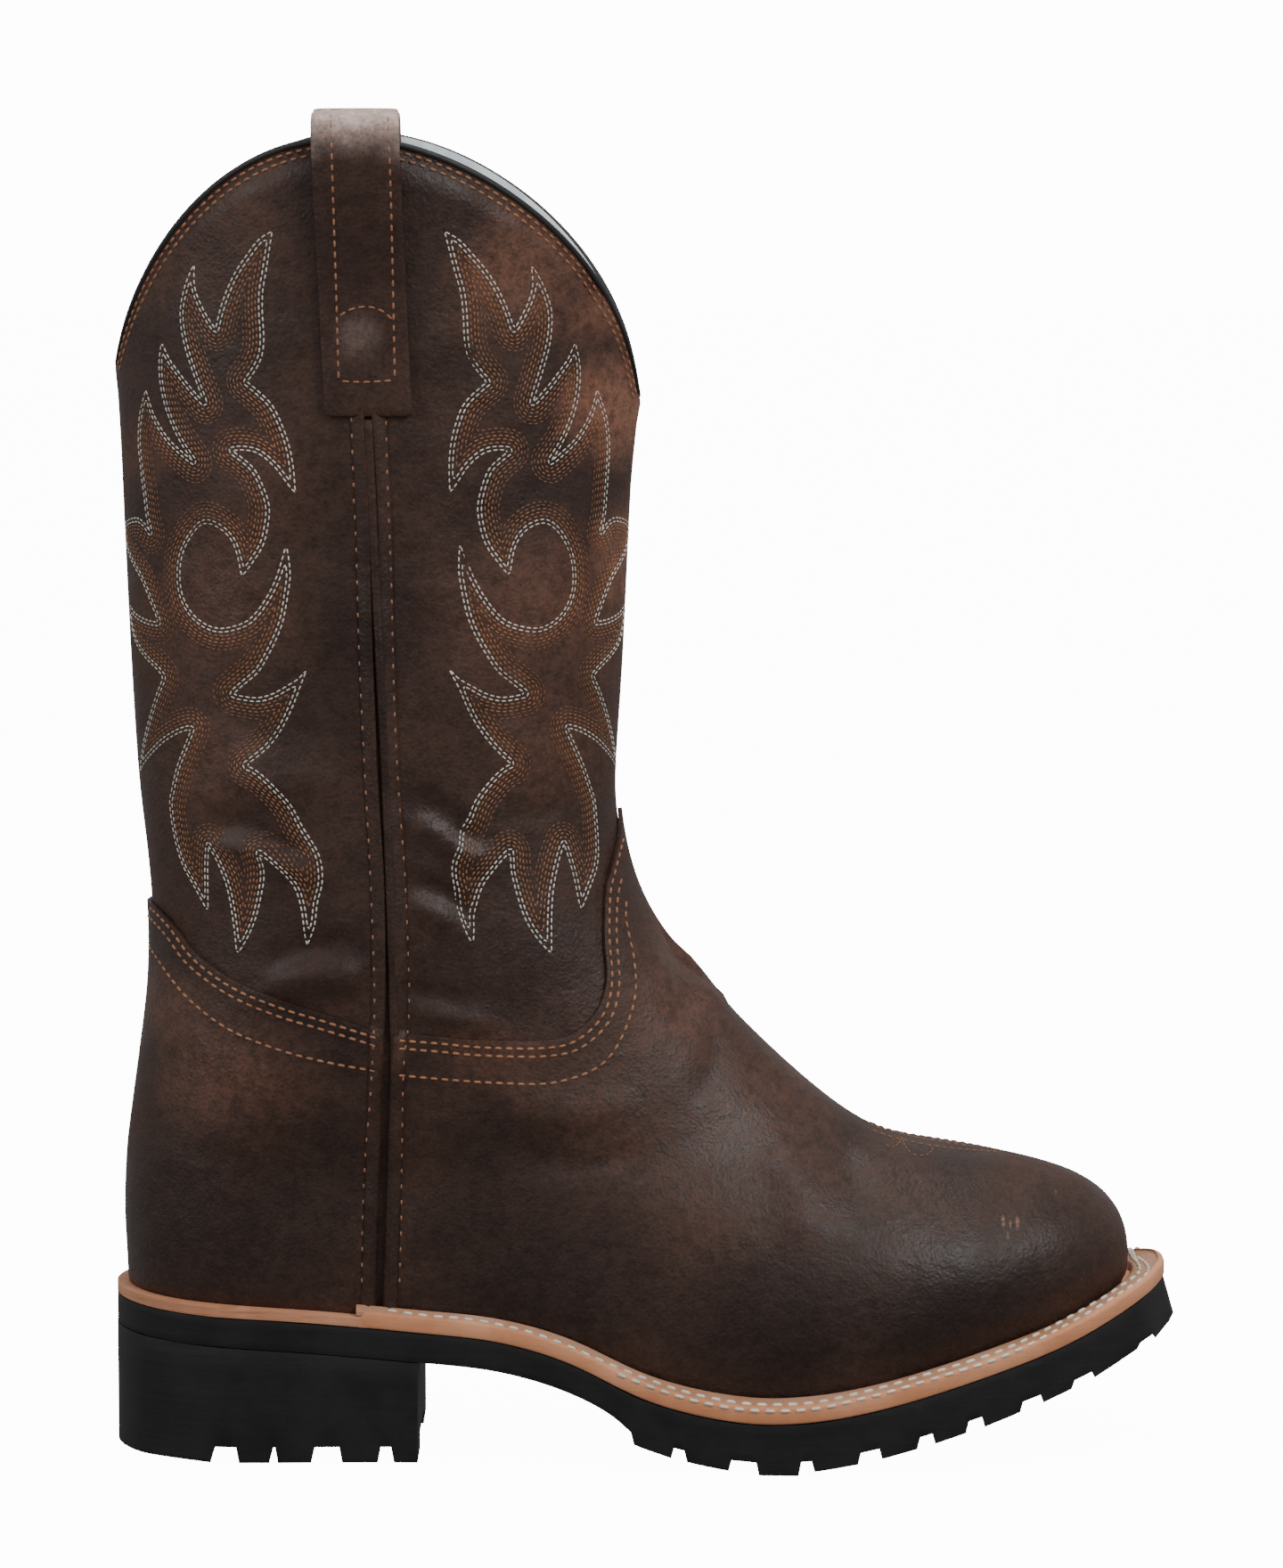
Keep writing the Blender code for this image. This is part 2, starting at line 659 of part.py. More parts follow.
def welt():
    """A strip from the front of the heel round the toe, thicker beside the upper."""
    inset = GAP + LAYER + GAP
    root = inset + ROOT_LEAN
    front_in = mix(THROAT_FRONT, LAST_LENGTH, FOOT[0][2]) + inset
    front_out = front_in - inset + TOE_MARGIN
    start = BREAST - 0.06 * LAST_LENGTH
    turn = front_in - ROUND_END * LAST_LENGTH
    straight = [start] + [x for x in common_stations() if start + LUG_DRAFT < x < turn]
    inner_x = straight + span_stations(turn, front_in - GAP / 2.0, 8, False, True)
    outer_x = straight + span_stations(turn, front_out - GAP / 2.0, 8, False, True)
    count = len(inner_x) - 1
    bm = bmesh.new()
    rings = []
    path = [(i, 0) for i in range(count + 1)] + [(i, 1) for i in range(count, -1, -1)]
    for i, side in path:
        out_y = sole_edges(outer_x[i])[side]
        in_y = outline_at(inner_x[i], inset, inset, lambda at, which: inset)[side]
        root_x = inner_x[i] + ROOT_LEAN * (inner_x[i] - start) / (front_in - start)
        root_y = outline_at(root_x, root, root, lambda at, which: root)[side]
        low_out = midsole_bottom(outer_x[i]) + MIDSOLE + GAP
        low_in = midsole_bottom(inner_x[i]) + MIDSOLE + GAP
        rings.append([bm.verts.new(to_world(p)) for p in (
            (outer_x[i], out_y, low_out), (outer_x[i], out_y, low_out + WELT_EDGE - GAP),
            (root_x, root_y, low_in + WELT_ROOT - GAP), (inner_x[i], in_y, low_in))])
    bridge_rings(bm, rings)
    bm.faces.new(rings[0])
    bm.faces.new(rings[-1][::-1])
    return bm


def form_tree(grid):
    bm = closed_form(grid, 0.0)
    bmesh.ops.recalc_face_normals(bm, faces=bm.faces[:])
    bm.normal_update()
    tree = BVHTree.FromBMesh(bm)
    bm.free()
    return tree


def on_form(tree, x, z, side, inside=False):
    """The place and outward direction on a form, found along Y from the boot's side."""
    reach = COLLAR_WIDTH
    start = to_world((x, 0.0 if inside else side * reach, z))
    place, normal = tree.ray_cast(start, Vector((0.0, side if inside else -side, 0.0)))[:2]
    if normal.y * side < 0.0:
        normal = -normal
    return place, normal


def piping(grid, side, top):
    """A cord in the side seam, flat against the shaft and rounded outside."""
    tree = form_tree(offset_grid(grid, GAP))
    low = upper_bottom(seam_x(0.0)) + PIPING_HEIGHT
    count = 22
    profile = ((-0.5, 0.0), (-0.4, 0.7), (0.0, 0.95), (0.4, 0.7), (0.5, 0.0))
    bm = bmesh.new()
    rings = []
    for k in range(count + 1):
        z = mix(low, top, k / count)
        ring = []
        for across, height in profile:
            place, normal = on_form(tree, seam_x(z) + across * PIPING_WIDTH, z, side)
            normal.z = 0.0
            ring.append(bm.verts.new(place + normal.normalized() * (height * PIPING_HEIGHT)))
        rings.append(ring)
    bridge_rings(bm, rings)
    bm.faces.new(rings[0])
    bm.faces.new(rings[-1][::-1])
    return bm


def binding(grid):
    """The bound edge of the collar."""
    rim = grid[-1]
    normals = grid_normals(grid)[-1].copy()
    normals[:, 2] = 0.0
    normals /= np.linalg.norm(normals, axis=1, keepdims=True)
    middle = rim - normals * (WALL / 2.0)
    runs = np.roll(rim, -1, axis=0) - np.roll(rim, 1, axis=0)
    ups = np.cross(normals, runs)
    ups /= np.linalg.norm(ups, axis=1, keepdims=True)
    ups *= np.sign(ups[:, 2:])
    bm = bmesh.new()
    profile = ((-0.5, 0.0), (0.5, 0.0), (0.36, 1.0), (-0.36, 1.0))
    rings = []
    for out, height in profile:
        ring = middle + normals * (out * BINDING_WIDTH) + ups * (BINDING_SEAT + height * BINDING_HEIGHT)
        rings.append([bm.verts.new(to_world(p)) for p in ring])
    rings.append(rings[0])
    bridge_rings(bm, rings)
    return bm


def strap_path():
    """Middle of the strap from its outer end over the collar to its inner end: distance out, height."""
    out_low = GAP + STRAP / 2.0
    in_low = -WALL - out_low
    top = CROWN_HEIGHT + BINDING_HEIGHT + STRAP_LOOP - STRAP / 2.0
    low = CROWN_HEIGHT - STRAP_DROP
    rows = [
        # share of the bow, share of the height
        (0.00, 0.00),
        (0.00, 0.15),
        (0.03, 0.30),
        (0.15, 0.45),
        (0.42, 0.60),
        (0.78, 0.75),
        (1.00, 0.88),
        (0.80, 0.96),
    ]
    outer = [(out_low + bow * STRAP_BOW, mix(low, top, rise)) for bow, rise in rows]
    inner = [(in_low - bow * STRAP_BOW, mix(low, top, rise)) for bow, rise in rows]
    return outer + [((out_low + in_low) / 2.0, top)] + inner[::-1]


def strap(grid, side):
    tree = form_tree(grid)
    path = strap_path()
    across = [-0.5, -0.47, 0.0, 0.47, 0.5]
    bm = bmesh.new()
    rings = []
    rim = CROWN_HEIGHT - STRAP_DROP * 0.12
    for k, (out, z) in enumerate(path):
        before, after = path[max(k - 1, 0)], path[min(k + 1, len(path) - 1)]
        run = Vector((after[0] - before[0], after[1] - before[1])).normalized()
        thick = Vector((-run.y, run.x))
        ring = []
        for face in (0.5, -0.5):
            order = across if face > 0 else across[::-1]
            for share in order:
                x = seam_x(z) + share * STRAP_WIDTH - (STRAP_SET_BACK if side > 0 else 0.0)
                place = on_form(tree, x, min(z, rim), side)[0]
                thin = 0.55 if abs(share) == 0.5 else 1.0
                o = out + thick.x * face * STRAP * thin
                h = z + thick.y * face * STRAP * thin
                ring.append(bm.verts.new(Vector((place.x, place.y + side * o, h))))
        rings.append(ring)
    bridge_rings(bm, rings)
    for end in (rings[0], rings[-1]):
        for a in range(len(across) - 1):
            bm.faces.new((end[a], end[a + 1], end[-2 - a], end[-1 - a]))
    return bm


def main():
    for old in list(bpy.data.objects):
        bpy.data.objects.remove(old, do_unlink=True)
    leather = material("brown leather", (0.062, 0.036, 0.026), 0.55)
    vamp_leather = material("vamp leather", (0.068, 0.040, 0.029), 0.55)
    rubber = material("black rubber", (0.012, 0.012, 0.013), 0.6)
    tan = material("tan midsole", (0.42, 0.20, 0.11), 0.6)
    welt_tan = material("tan welt", (0.46, 0.24, 0.14), 0.55)
    black_edge = material("black binding", (0.014, 0.013, 0.014), 0.5)
    fibre = material("insole board", (0.30, 0.24, 0.17), 0.8)

    grid = upper_grid()
    add_object("upper", upper_shell(grid), leather)
    panel("vamp", grid, vamp_outline(), vamp_leather)
    panel("counter", grid, counter_outline(), vamp_leather)
    add_object("outsole", outsole(), rubber, 30.0)
    add_object("heel", heel(), rubber, 30.0)
    add_object("midsole", midsole(), tan, 30.0)
    add_object("welt", welt(), welt_tan, 30.0)
    add_object("insole", insole(), fibre, 30.0)
    add_object("collar_binding", binding(grid), black_edge)
    strap_end = CROWN_HEIGHT - STRAP_DROP
    for name, side in (("outer", -1), ("inner", 1)):
        add_object("side_piping_" + name, piping(grid, side, strap_end - GAP), black_edge)
        add_object("pull_strap_" + name, strap(grid, side), leather)


main()
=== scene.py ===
import math

import bmesh
import bpy
import numpy as np
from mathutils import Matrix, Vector
from mathutils.bvhtree import BVHTree


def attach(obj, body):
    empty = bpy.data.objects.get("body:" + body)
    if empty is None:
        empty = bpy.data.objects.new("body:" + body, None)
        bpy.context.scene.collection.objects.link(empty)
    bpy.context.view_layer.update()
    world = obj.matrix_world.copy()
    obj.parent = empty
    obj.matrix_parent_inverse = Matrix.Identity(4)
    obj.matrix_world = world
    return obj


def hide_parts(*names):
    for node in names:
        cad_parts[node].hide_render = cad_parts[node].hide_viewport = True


# Western work boot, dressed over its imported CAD. Metres; the toe is +X and the outer side is -Y.
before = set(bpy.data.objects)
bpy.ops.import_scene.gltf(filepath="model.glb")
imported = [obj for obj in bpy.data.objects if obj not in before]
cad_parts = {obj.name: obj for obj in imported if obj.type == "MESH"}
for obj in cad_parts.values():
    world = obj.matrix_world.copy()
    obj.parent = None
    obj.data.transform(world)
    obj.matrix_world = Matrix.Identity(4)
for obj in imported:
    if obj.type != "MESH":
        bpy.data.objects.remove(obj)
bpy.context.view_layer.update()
print("frame loaded:", len(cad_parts), "nodes")

photoView = {
    "width": 1440,
    "height": 1760,
    "place": (0.09735, -1.85, 0.408),
    "tilt": 83.362,
    "lens": 146.955,
    "sensor": 36.0,
    "point": 0.0002575,  # metres to a point of the photo, on the boot's middle plane
    "floorLine": 1648,
}


# helpers for objects
def deselectAll():
    for each in bpy.context.selected_objects:
        each.select_set(False)


def makeActive(piece):
    deselectAll()
    piece.hide_viewport = False
    piece.select_set(True)
    bpy.context.view_layer.objects.active = piece


def applyModifier(piece, kind, **settings):
    modifier = piece.modifiers.new(kind.lower(), kind)
    for key, value in settings.items():
        setattr(modifier, key, value)
    makeActive(piece)
    bpy.ops.object.modifier_apply(modifier=modifier.name)


def copyNode(node, name):
    # a merged copy of a CAD node's mesh, its triangles joined to quads
    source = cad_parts[node]
    piece = bpy.data.objects.new(name, source.data.copy())
    bpy.context.scene.collection.objects.link(piece)
    piece.data.materials.clear()
    makeActive(piece)
    bpy.ops.object.mode_set(mode="EDIT")
    bpy.ops.mesh.select_all(action="SELECT")
    bpy.ops.mesh.remove_doubles(threshold=0.00002)
    bpy.ops.mesh.tris_convert_to_quads(face_threshold=math.radians(60), shape_threshold=math.radians(60))
    bpy.ops.mesh.customdata_custom_splitnormals_clear()
    bpy.ops.object.mode_set(mode="OBJECT")
    return piece


def creaseSharpEdges(piece, angle):
    # keeps the corners of a hard piece while it is subdivided
    bm = bmesh.new()
    bm.from_mesh(piece.data)
    layer = bm.edges.layers.float.get("crease_edge") or bm.edges.layers.float.new("crease_edge")
    for edge in bm.edges:
        sharp = len(edge.link_faces) != 2 or edge.calc_face_angle(0.0) > math.radians(angle)
        edge[layer] = 1.0 if sharp else 0.0
        edge.smooth = True
    bm.to_mesh(piece.data)
    bm.free()


def smoothShade(piece, angle=180.0):
    makeActive(piece)
    if angle < 180.0:
        bpy.ops.object.shade_smooth_by_angle(angle=math.radians(angle))
    else:
        bpy.ops.object.shade_smooth()


def meshPiece(name, vertices, faces):
    mesh = bpy.data.meshes.new(name)
    mesh.from_pydata([tuple(v) for v in vertices], [], faces)
    mesh.validate()
    piece = bpy.data.objects.new(name, mesh)
    bpy.context.scene.collection.objects.link(piece)
    return piece


def surfaceTree(pieces):
    vertices, polygons = [], []
    for piece in pieces:
        start = len(vertices)
        vertices += [v.co.copy() for v in piece.data.vertices]
        polygons += [[start + i for i in face.vertices] for face in piece.data.polygons]
    return BVHTree.FromPolygons(vertices, polygons)


# helpers for materials
def newMaterial(name):
    made = bpy.data.materials.new(name)
    made.use_nodes = True
    return made, made.node_tree, made.node_tree.nodes["Principled BSDF"]


def setSocket(tree, socket, value):
    # links the socket, or gives it a value of its own
    if isinstance(value, bpy.types.NodeSocket):
        tree.links.new(value, socket)
    else:
        socket.default_value = value


def addNode(tree, kind, inputs=None, **settings):
    node = tree.nodes.new(kind)
    for key, value in settings.items():
        setattr(node, key, value)
    for key, value in (inputs or {}).items():
        setSocket(tree, node.inputs[key], value)
    return node


def noiseOf(tree, place, scale, detail=3.0, rough=0.5, distortion=0.0):
    inputs = {"Vector": place, "Scale": scale, "Detail": detail, "Roughness": rough, "Distortion": distortion}
    return addNode(tree, "ShaderNodeTexNoise", inputs).outputs["Fac"]


def stretched(tree, place, size, turn=(0.0, 0.0, 0.0)):
    inputs = {"Vector": place, "Scale": size, "Rotation": turn}
    return addNode(tree, "ShaderNodeMapping", inputs).outputs["Vector"]


def stretchedNoise(tree, place, size, turn, *settings):
    return noiseOf(tree, stretched(tree, place, size, turn), 1.0, *settings)


def remap(tree, value, low, high, outLow=0.0, outHigh=1.0):
    inputs = {"Value": value, "From Min": low, "From Max": high, "To Min": outLow, "To Max": outHigh}
    return addNode(tree, "ShaderNodeMapRange", inputs, interpolation_type="SMOOTHSTEP").outputs["Result"]


def blendColour(tree, share, first, second, mode="MIX"):
    inputs = {0: share, 6: first, 7: second}  # the colour sockets of a Mix node
    return addNode(tree, "ShaderNodeMix", inputs, data_type="RGBA", blend_type=mode).outputs[2]


def calc(tree, operation, first, second):
    return addNode(tree, "ShaderNodeMath", {0: first, 1: second}, operation=operation).outputs["Value"]


def vectorCalc(tree, operation, inputs, result="Vector"):
    return addNode(tree, "ShaderNodeVectorMath", inputs, operation=operation).outputs[result]


def poresOf(tree, place, scale, feature):
    return addNode(tree, "ShaderNodeTexVoronoi", {"Vector": place, "Scale": scale}, feature=feature).outputs["Distance"]


def bumpOf(tree, height, distance, strength, under=None):
    inputs = {"Height": height, "Distance": distance, "Strength": strength}
    if under is not None:
        inputs["Normal"] = under
    return addNode(tree, "ShaderNodeBump", inputs).outputs["Normal"]


def objectPlace(tree):
    return addNode(tree, "ShaderNodeTexCoord").outputs["Object"]


def finishLook(tree, shader, colour, roughness, normal, specular=None):
    setSocket(tree, shader.inputs["Base Color"], colour)
    setSocket(tree, shader.inputs["Roughness"], roughness)
    setSocket(tree, shader.inputs["Normal"], normal)
    if specular is not None:
        shader.inputs["Specular IOR Level"].default_value = specular


# camera, from the photo
cameraData = bpy.data.cameras.new("camera")
cameraData.lens = photoView["lens"]
cameraData.sensor_width = photoView["sensor"]
camera = bpy.data.objects.new("camera", cameraData)
bpy.context.scene.collection.objects.link(camera)
camera.location = photoView["place"]
camera.rotation_euler = (math.radians(photoView["tilt"]), 0.0, 0.0)
bpy.context.scene.camera = camera


def photoRay(px, py):
    # from a point of the photo, in its own pixels, out into the scene
    halfWidth, halfHeight = photoView["width"] / 2, photoView["height"] / 2
    depth = photoView["lens"] / photoView["sensor"] * photoView["height"]
    tilt = math.radians(photoView["tilt"])
    x, y, z = px - halfWidth, halfHeight - py, -depth
    direction = Vector((x, y * math.cos(tilt) - z * math.sin(tilt), y * math.sin(tilt) + z * math.cos(tilt)))
    return Vector(photoView["place"]), direction.normalized()


leather = {
    "dark": (0.0275, 0.0135, 0.0098, 1.0),
    "brown": (0.0500, 0.0250, 0.0178, 1.0),
    "warm": (0.0980, 0.0420, 0.0250, 1.0),
    # colour of rubbed wear and of painted light on the lighter patches, also of the hairline scratches
    "wornAndLit": (0.2250, 0.1000, 0.0610, 1.0),
    # painted shade of the dark patches, also the colour of scuffs
    "shadeAndScuffDark": (0.0140, 0.0074, 0.0058, 1.0),
    "scratch": (0.30, 0.15, 0.095, 1.0),
    # painted highlight on the strap's curled top
    "paintedHighlight": (0.78, 0.58, 0.51, 1.0),
    # noises: scale, detail, roughness, distortion
    "cloud": (11.0, 4.0, 0.55, 0.6),
    "mottle": (26.0, 6.0, 0.65, 0.4),
    "fine": (300.0, 5.0, 0.7),
    "grain": (1500.0, 2.0, 0.5),
    "ragged": (1400.0, 3.0, 0.6),
    # stretched noises: scale along each axis, turn, detail, roughness, distortion
    "hairs": ((60.0, 60.0, 700.0), (0.5, 0.7, 0.3), 3.0, 0.6),
    "crossHairs": ((650.0, 60.0, 55.0), (0.2, 0.6, 0.9), 3.0, 0.6),
    "wrinkles": ((95.0, 95.0, 130.0), (0.5, 0.4, 0.3), 6.0, 0.62, 0.5),
    "folds": ((24.0, 24.0, 34.0), (0.4, 0.25, 0.2), 3.0, 0.5, 0.4),
    # the part of a value that counts, and what it becomes
    "cloudRange": (0.34, 0.68),
    "mottleRange": (0.35, 0.72),
    "raggedRange": (0.35, 0.55),
    "speckleRange": (0.22, 0.75),
    "glossRange": (0.25, 0.75),
    "hairRange": (0.68, 0.80, 0.0, 0.16),
    "crossHairRange": (0.70, 0.82, 0.0, 0.12),
    # how the fine noise breaks up the lighter patches: wear and painted light on the shaft and foot (uneven), the
    # painted highlight on the strap (even)
    "unevenWearAndLight": (0.2, 0.6, 0.55, 1.1),
    "evenHighlight": (0.2, 0.6, 0.9, 1.0),
    "shade": (0.62, 1.35),
    "roughness": (0.40, 0.62),
    "specular": 0.38,
    # shares of one value in a mixture
    "warmShare": 0.35,
    "fineInSpeckle": 0.75,
    "fineInGloss": 0.6,
    "poreScale": 900.0,
    "poreBumpScale": 1000.0,
    "swirl": {"Scale": 18.0, "Detail": 5.0, "Roughness": 0.6},
    "swirlReach": 0.05,
    "spotEdge": (1.35, 0.15),  # where a patch starts and is full, in its radius
    "scuffLong": 2.2,
    "scratchLong": 4.0,
    # bumps: depth in metres, strength
    "foldBump": (0.004, 0.35),
    "wrinkleBump": (0.0008, 0.5),
    "grainBump": (0.00012, 0.7),
    "poreBump": (0.00018, 0.7),
}
# patches: photo point, radius in photo points, strength
# lighter patches: partly pull-up wear, partly painted light, which is strongest along the shaft's front edge and on the
# instep
wornAndLitPatches = [
    (705, 470, 60, 1.0), (705, 640, 60, 0.8), (600, 300, 90, 0.55), (690, 360, 50, 0.6), (600, 700, 110, 0.32),
    (620, 860, 80, 0.25), (770, 1130, 90, 0.26), (860, 1270, 120, 0.20), (700, 1250, 110, 0.16),
    (1010, 1350, 90, 0.12), (1180, 1350, 100, 0.10), (190, 1160, 60, 0.34), (270, 1210, 80, 0.34),
    (330, 560, 80, 0.14), (240, 860, 70, 0.18), (250, 690, 110, 0.22), (300, 240, 60, 0.12),
    (560, 1195, 60, 0.22), (170, 520, 40, 0.25), (205, 300, 60, 0.15), (440, 1190, 30, 0.2),
]
# dark patches: partly painted shade, partly darker leather, most of it towards the sole
shadeAndDarkPatches = [
    (620, 1450, 150, 0.60), (860, 1500, 120, 0.60), (1060, 1480, 110, 0.55), (1230, 1430, 60, 0.35),
    (260, 1410, 130, 0.50), (420, 1330, 60, 0.10), (640, 1340, 90, 0.25), (960, 1420, 60, 0.35),
    (380, 800, 90, 0.30), (240, 420, 90, 0.30), (470, 330, 70, 0.30), (500, 1110, 60, 0.30),
    (1180, 1390, 70, 0.35), (860, 1310, 60, 0.2), (420, 600, 40, 0.25), (420, 1000, 40, 0.25),
    (330, 1060, 60, 0.25), (1000, 1260, 40, 0.3), (1075, 1330, 40, 0.2),
]
# painted highlight: bright on the strap's rounded top, faint at its edges and lower down
strapHighlightPatches = [
    (366, 105, 66, 1.0), (404, 105, 70, 1.0), (440, 105, 66, 1.0),
    (352, 170, 28, 0.2), (455, 170, 28, 0.2), (410, 385, 26, 0.1),
]
scratches = [
    (1126, 1371, 2.2, 0.9), (1134, 1374, 1.6, 0.7), (1142, 1372, 2.4, 0.8), (1131, 1387, 1.6, 0.5),
    (1185, 1338, 1.3, 0.6),
]
scuffs = [
    (1122, 1375, 3.5, 0.8), (1137, 1376, 2.4, 0.8), (1030, 1415, 5.0, 0.7), (980, 1465, 7.0, 0.6),
    (1178, 1388, 2.0, 0.8),
]


def spotField(tree, place, spots):
    # one value that rises inside each spot, given as its centre, radius and strength
    total = None
    outer, inner = leather["spotEdge"]
    for centre, radius, strength in spots:
        apart = vectorCalc(tree, "DISTANCE", {0: place, 1: centre}, "Value")
        inside = remap(tree, apart, radius * outer, radius * inner, 0.0, strength)
        total = inside if total is None else calc(tree, "MAXIMUM", total, inside)
    return total


def patchField(tree, place, patches):
    # large patches, on both sides of the boot alike
    point = photoView["point"]
    spots = []
    for px, py, radius, strength in patches:
        x = (px - photoView["width"] / 2) * point + photoView["place"][0]
        spots.append(((x, 0.0, (photoView["floorLine"] - py) * point), radius * point, strength))
    return spotField(tree, stretched(tree, place, (1.0, 0.0, 1.0)), spots)


def markField(tree, place, marks, long):
    # small upright marks on the outer side only, each where the photo's own point falls on the leather
    skin = surfaceTree([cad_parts[node] for node in ("upper", "vamp", "counter")])
    size = Vector((1.0, 1.0 / long, 1.0 / long))
    spots = []
    for px, py, radius, strength in marks:
        origin, direction = photoRay(px, py)
        centre = skin.ray_cast(origin, direction)[0] * size
        spots.append((centre, radius * photoView["point"], strength))
    return spotField(tree, stretched(tree, place, size), spots)


def swirled(tree, place):
    # places moved a little by a noise, so that patches get ragged outlines
    swirl = addNode(tree, "ShaderNodeTexNoise", {"Vector": place, **leather["swirl"]})
    shift = vectorCalc(tree, "SUBTRACT", {0: swirl.outputs["Color"], 1: (0.5, 0.5, 0.5)})
    shift = vectorCalc(tree, "SCALE", {0: shift, "Scale": leather["swirlReach"]})
    return vectorCalc(tree, "ADD", {0: place, 1: shift})


def addWearAndPaintedLight(tree, place, colour, fine, wornAndLit, dark, wearAndLightTint):
    # lighter patches of wear and painted light (on the strap, a painted highlight); the shaft and the foot also get
    # dark patches of painted shade, scuffs and scratches
    bent = swirled(tree, place) if dark else place
    uneven = remap(tree, fine, *leather["unevenWearAndLight" if dark else "evenHighlight"])
    # lighter patches: wear and painted light; on the strap, a painted highlight
    wearAndLightShare = calc(tree, "MULTIPLY", patchField(tree, bent, wornAndLit), uneven)
    colour = blendColour(tree, wearAndLightShare, colour, wearAndLightTint)
    if not dark:
        return colour
    # dark patches: painted shade, strongest towards the sole
    colour = blendColour(tree, patchField(tree, bent, dark), colour, leather["shadeAndScuffDark"])
    ragged = remap(tree, noiseOf(tree, place, *leather["ragged"]), *leather["raggedRange"])
    for marks, long, tint in ((scuffs, leather["scuffLong"], leather["shadeAndScuffDark"]),
                              (scratches, leather["scratchLong"], leather["scratch"])):
        share = calc(tree, "MULTIPLY", markField(tree, place, marks, long), ragged)
        colour = blendColour(tree, share, colour, tint)
    return colour


def mixture(tree, first, second, share):
    return calc(tree, "ADD", calc(tree, "MULTIPLY", first, share), calc(tree, "MULTIPLY", second, 1.0 - share))


def leatherMaterial(name, lift, seed, wornAndLit=None, dark=None, wearAndLightTint=leather["wornAndLit"]):
    # oiled leather: dark and reddish clouds, fine pores, hairline scratches, lighter patches of wear and painted light,
    # dark patches of painted shade
    made, tree, shader = newMaterial(name)
    place = objectPlace(tree)
    away = (seed, seed * 0.7, seed * 0.3)
    moved = addNode(tree, "ShaderNodeMapping", {"Vector": place, "Location": away}).outputs["Vector"]
    cloud = remap(tree, noiseOf(tree, moved, *leather["cloud"]), *leather["cloudRange"])
    mottle = remap(tree, noiseOf(tree, moved, *leather["mottle"]), *leather["mottleRange"])
    fine = noiseOf(tree, moved, *leather["fine"])
    colour = blendColour(tree, cloud, leather["dark"], leather["brown"])
    colour = blendColour(tree, calc(tree, "MULTIPLY", mottle, leather["warmShare"]), colour, leather["warm"])
    if wornAndLit:
        colour = addWearAndPaintedLight(tree, place, colour, fine, wornAndLit, dark, wearAndLightTint)
    hairs = remap(tree, stretchedNoise(tree, moved, *leather["hairs"]), *leather["hairRange"])
    crossHairs = remap(tree, stretchedNoise(tree, moved, *leather["crossHairs"]), *leather["crossHairRange"])
    colour = blendColour(tree, calc(tree, "ADD", hairs, crossHairs), colour, leather["wornAndLit"])
    speckle = mixture(tree, fine, poresOf(tree, moved, leather["poreScale"], "F1"), leather["fineInSpeckle"])
    low, high = leather["shade"]
    shade = remap(tree, speckle, *leather["speckleRange"], low * lift, high * lift)
    colour = blendColour(tree, 1.0, colour, shade, "MULTIPLY")
    gloss = mixture(tree, fine, mottle, leather["fineInGloss"])
    roughness = remap(tree, gloss, *leather["glossRange"], *leather["roughness"])
    normal = bumpOf(tree, stretchedNoise(tree, moved, *leather["folds"]), *leather["foldBump"])
    normal = bumpOf(tree, stretchedNoise(tree, moved, *leather["wrinkles"]), *leather["wrinkleBump"], normal)
    normal = bumpOf(tree, noiseOf(tree, moved, *leather["grain"]), *leather["grainBump"], normal)
    pores = poresOf(tree, moved, leather["poreBumpScale"], "SMOOTH_F1")
    normal = bumpOf(tree, pores, *leather["poreBump"], normal)
    finishLook(tree, shader, colour, roughness, normal, leather["specular"])
    return made


# shaft and foot: lighter patches of wear and painted light, dark patches of painted shade; strap: a painted highlight
# on its top
shaftLeather = leatherMaterial("shaftLeather", 1.0, 0.0, wornAndLitPatches, shadeAndDarkPatches)
footLeather = leatherMaterial("footLeather", 0.95, 3.7, wornAndLitPatches, shadeAndDarkPatches)
strapLeather = leatherMaterial("strapLeather", 1.08, 6.1, strapHighlightPatches, None, leather["paintedHighlight"])
cordLeather = leatherMaterial("cordLeather", 0.9, 9.3)

moulded = {
    "dark": (0.0065, 0.0065, 0.007, 1.0),
    "pale": (0.013, 0.0125, 0.0125, 1.0),
    "cloud": (60.0, 5.0, 0.6),
    "cloudRange": (0.35, 0.7),
    "roughness": (0.3, 0.7, 0.50, 0.66),
    "specular": 0.35,
    "lines": ((40.0, 40.0, 700.0), (0.0, 0.0, 0.0), 4.0, 0.6),
    "lineBump": (0.00025, 0.4),
    "fine": (1800.0, 2.0, 0.5),
    "fineBump": (0.00008, 0.5),
}


def rubberMaterial(name):
    made, tree, shader = newMaterial(name)
    place = objectPlace(tree)
    cloud = noiseOf(tree, place, *moulded["cloud"])
    colour = blendColour(tree, remap(tree, cloud, *moulded["cloudRange"]), moulded["dark"], moulded["pale"])
    normal = bumpOf(tree, stretchedNoise(tree, place, *moulded["lines"]), *moulded["lineBump"])
    normal = bumpOf(tree, noiseOf(tree, place, *moulded["fine"]), *moulded["fineBump"], normal)
    finishLook(tree, shader, colour, remap(tree, cloud, *moulded["roughness"]), normal, moulded["specular"])
    return made


rubber = rubberMaterial("blackRubber")

trimmed = {
    "fibres": ((70.0, 70.0, 1500.0), (0.0, 0.0, 0.0), 5.0, 0.65),
    "fibreRange": (0.48, 0.75),
    "fibreDepth": 0.00035,
    "cloud": (34.0, 5.0, 0.6, 0.4),
    "cloudRange": (0.38, 0.68),
    "grain": (1500.0, 2.0, 0.5),
    "grainBump": (0.0001, 0.5),
    "roughness": 0.55,
    "specular": 0.35,
}


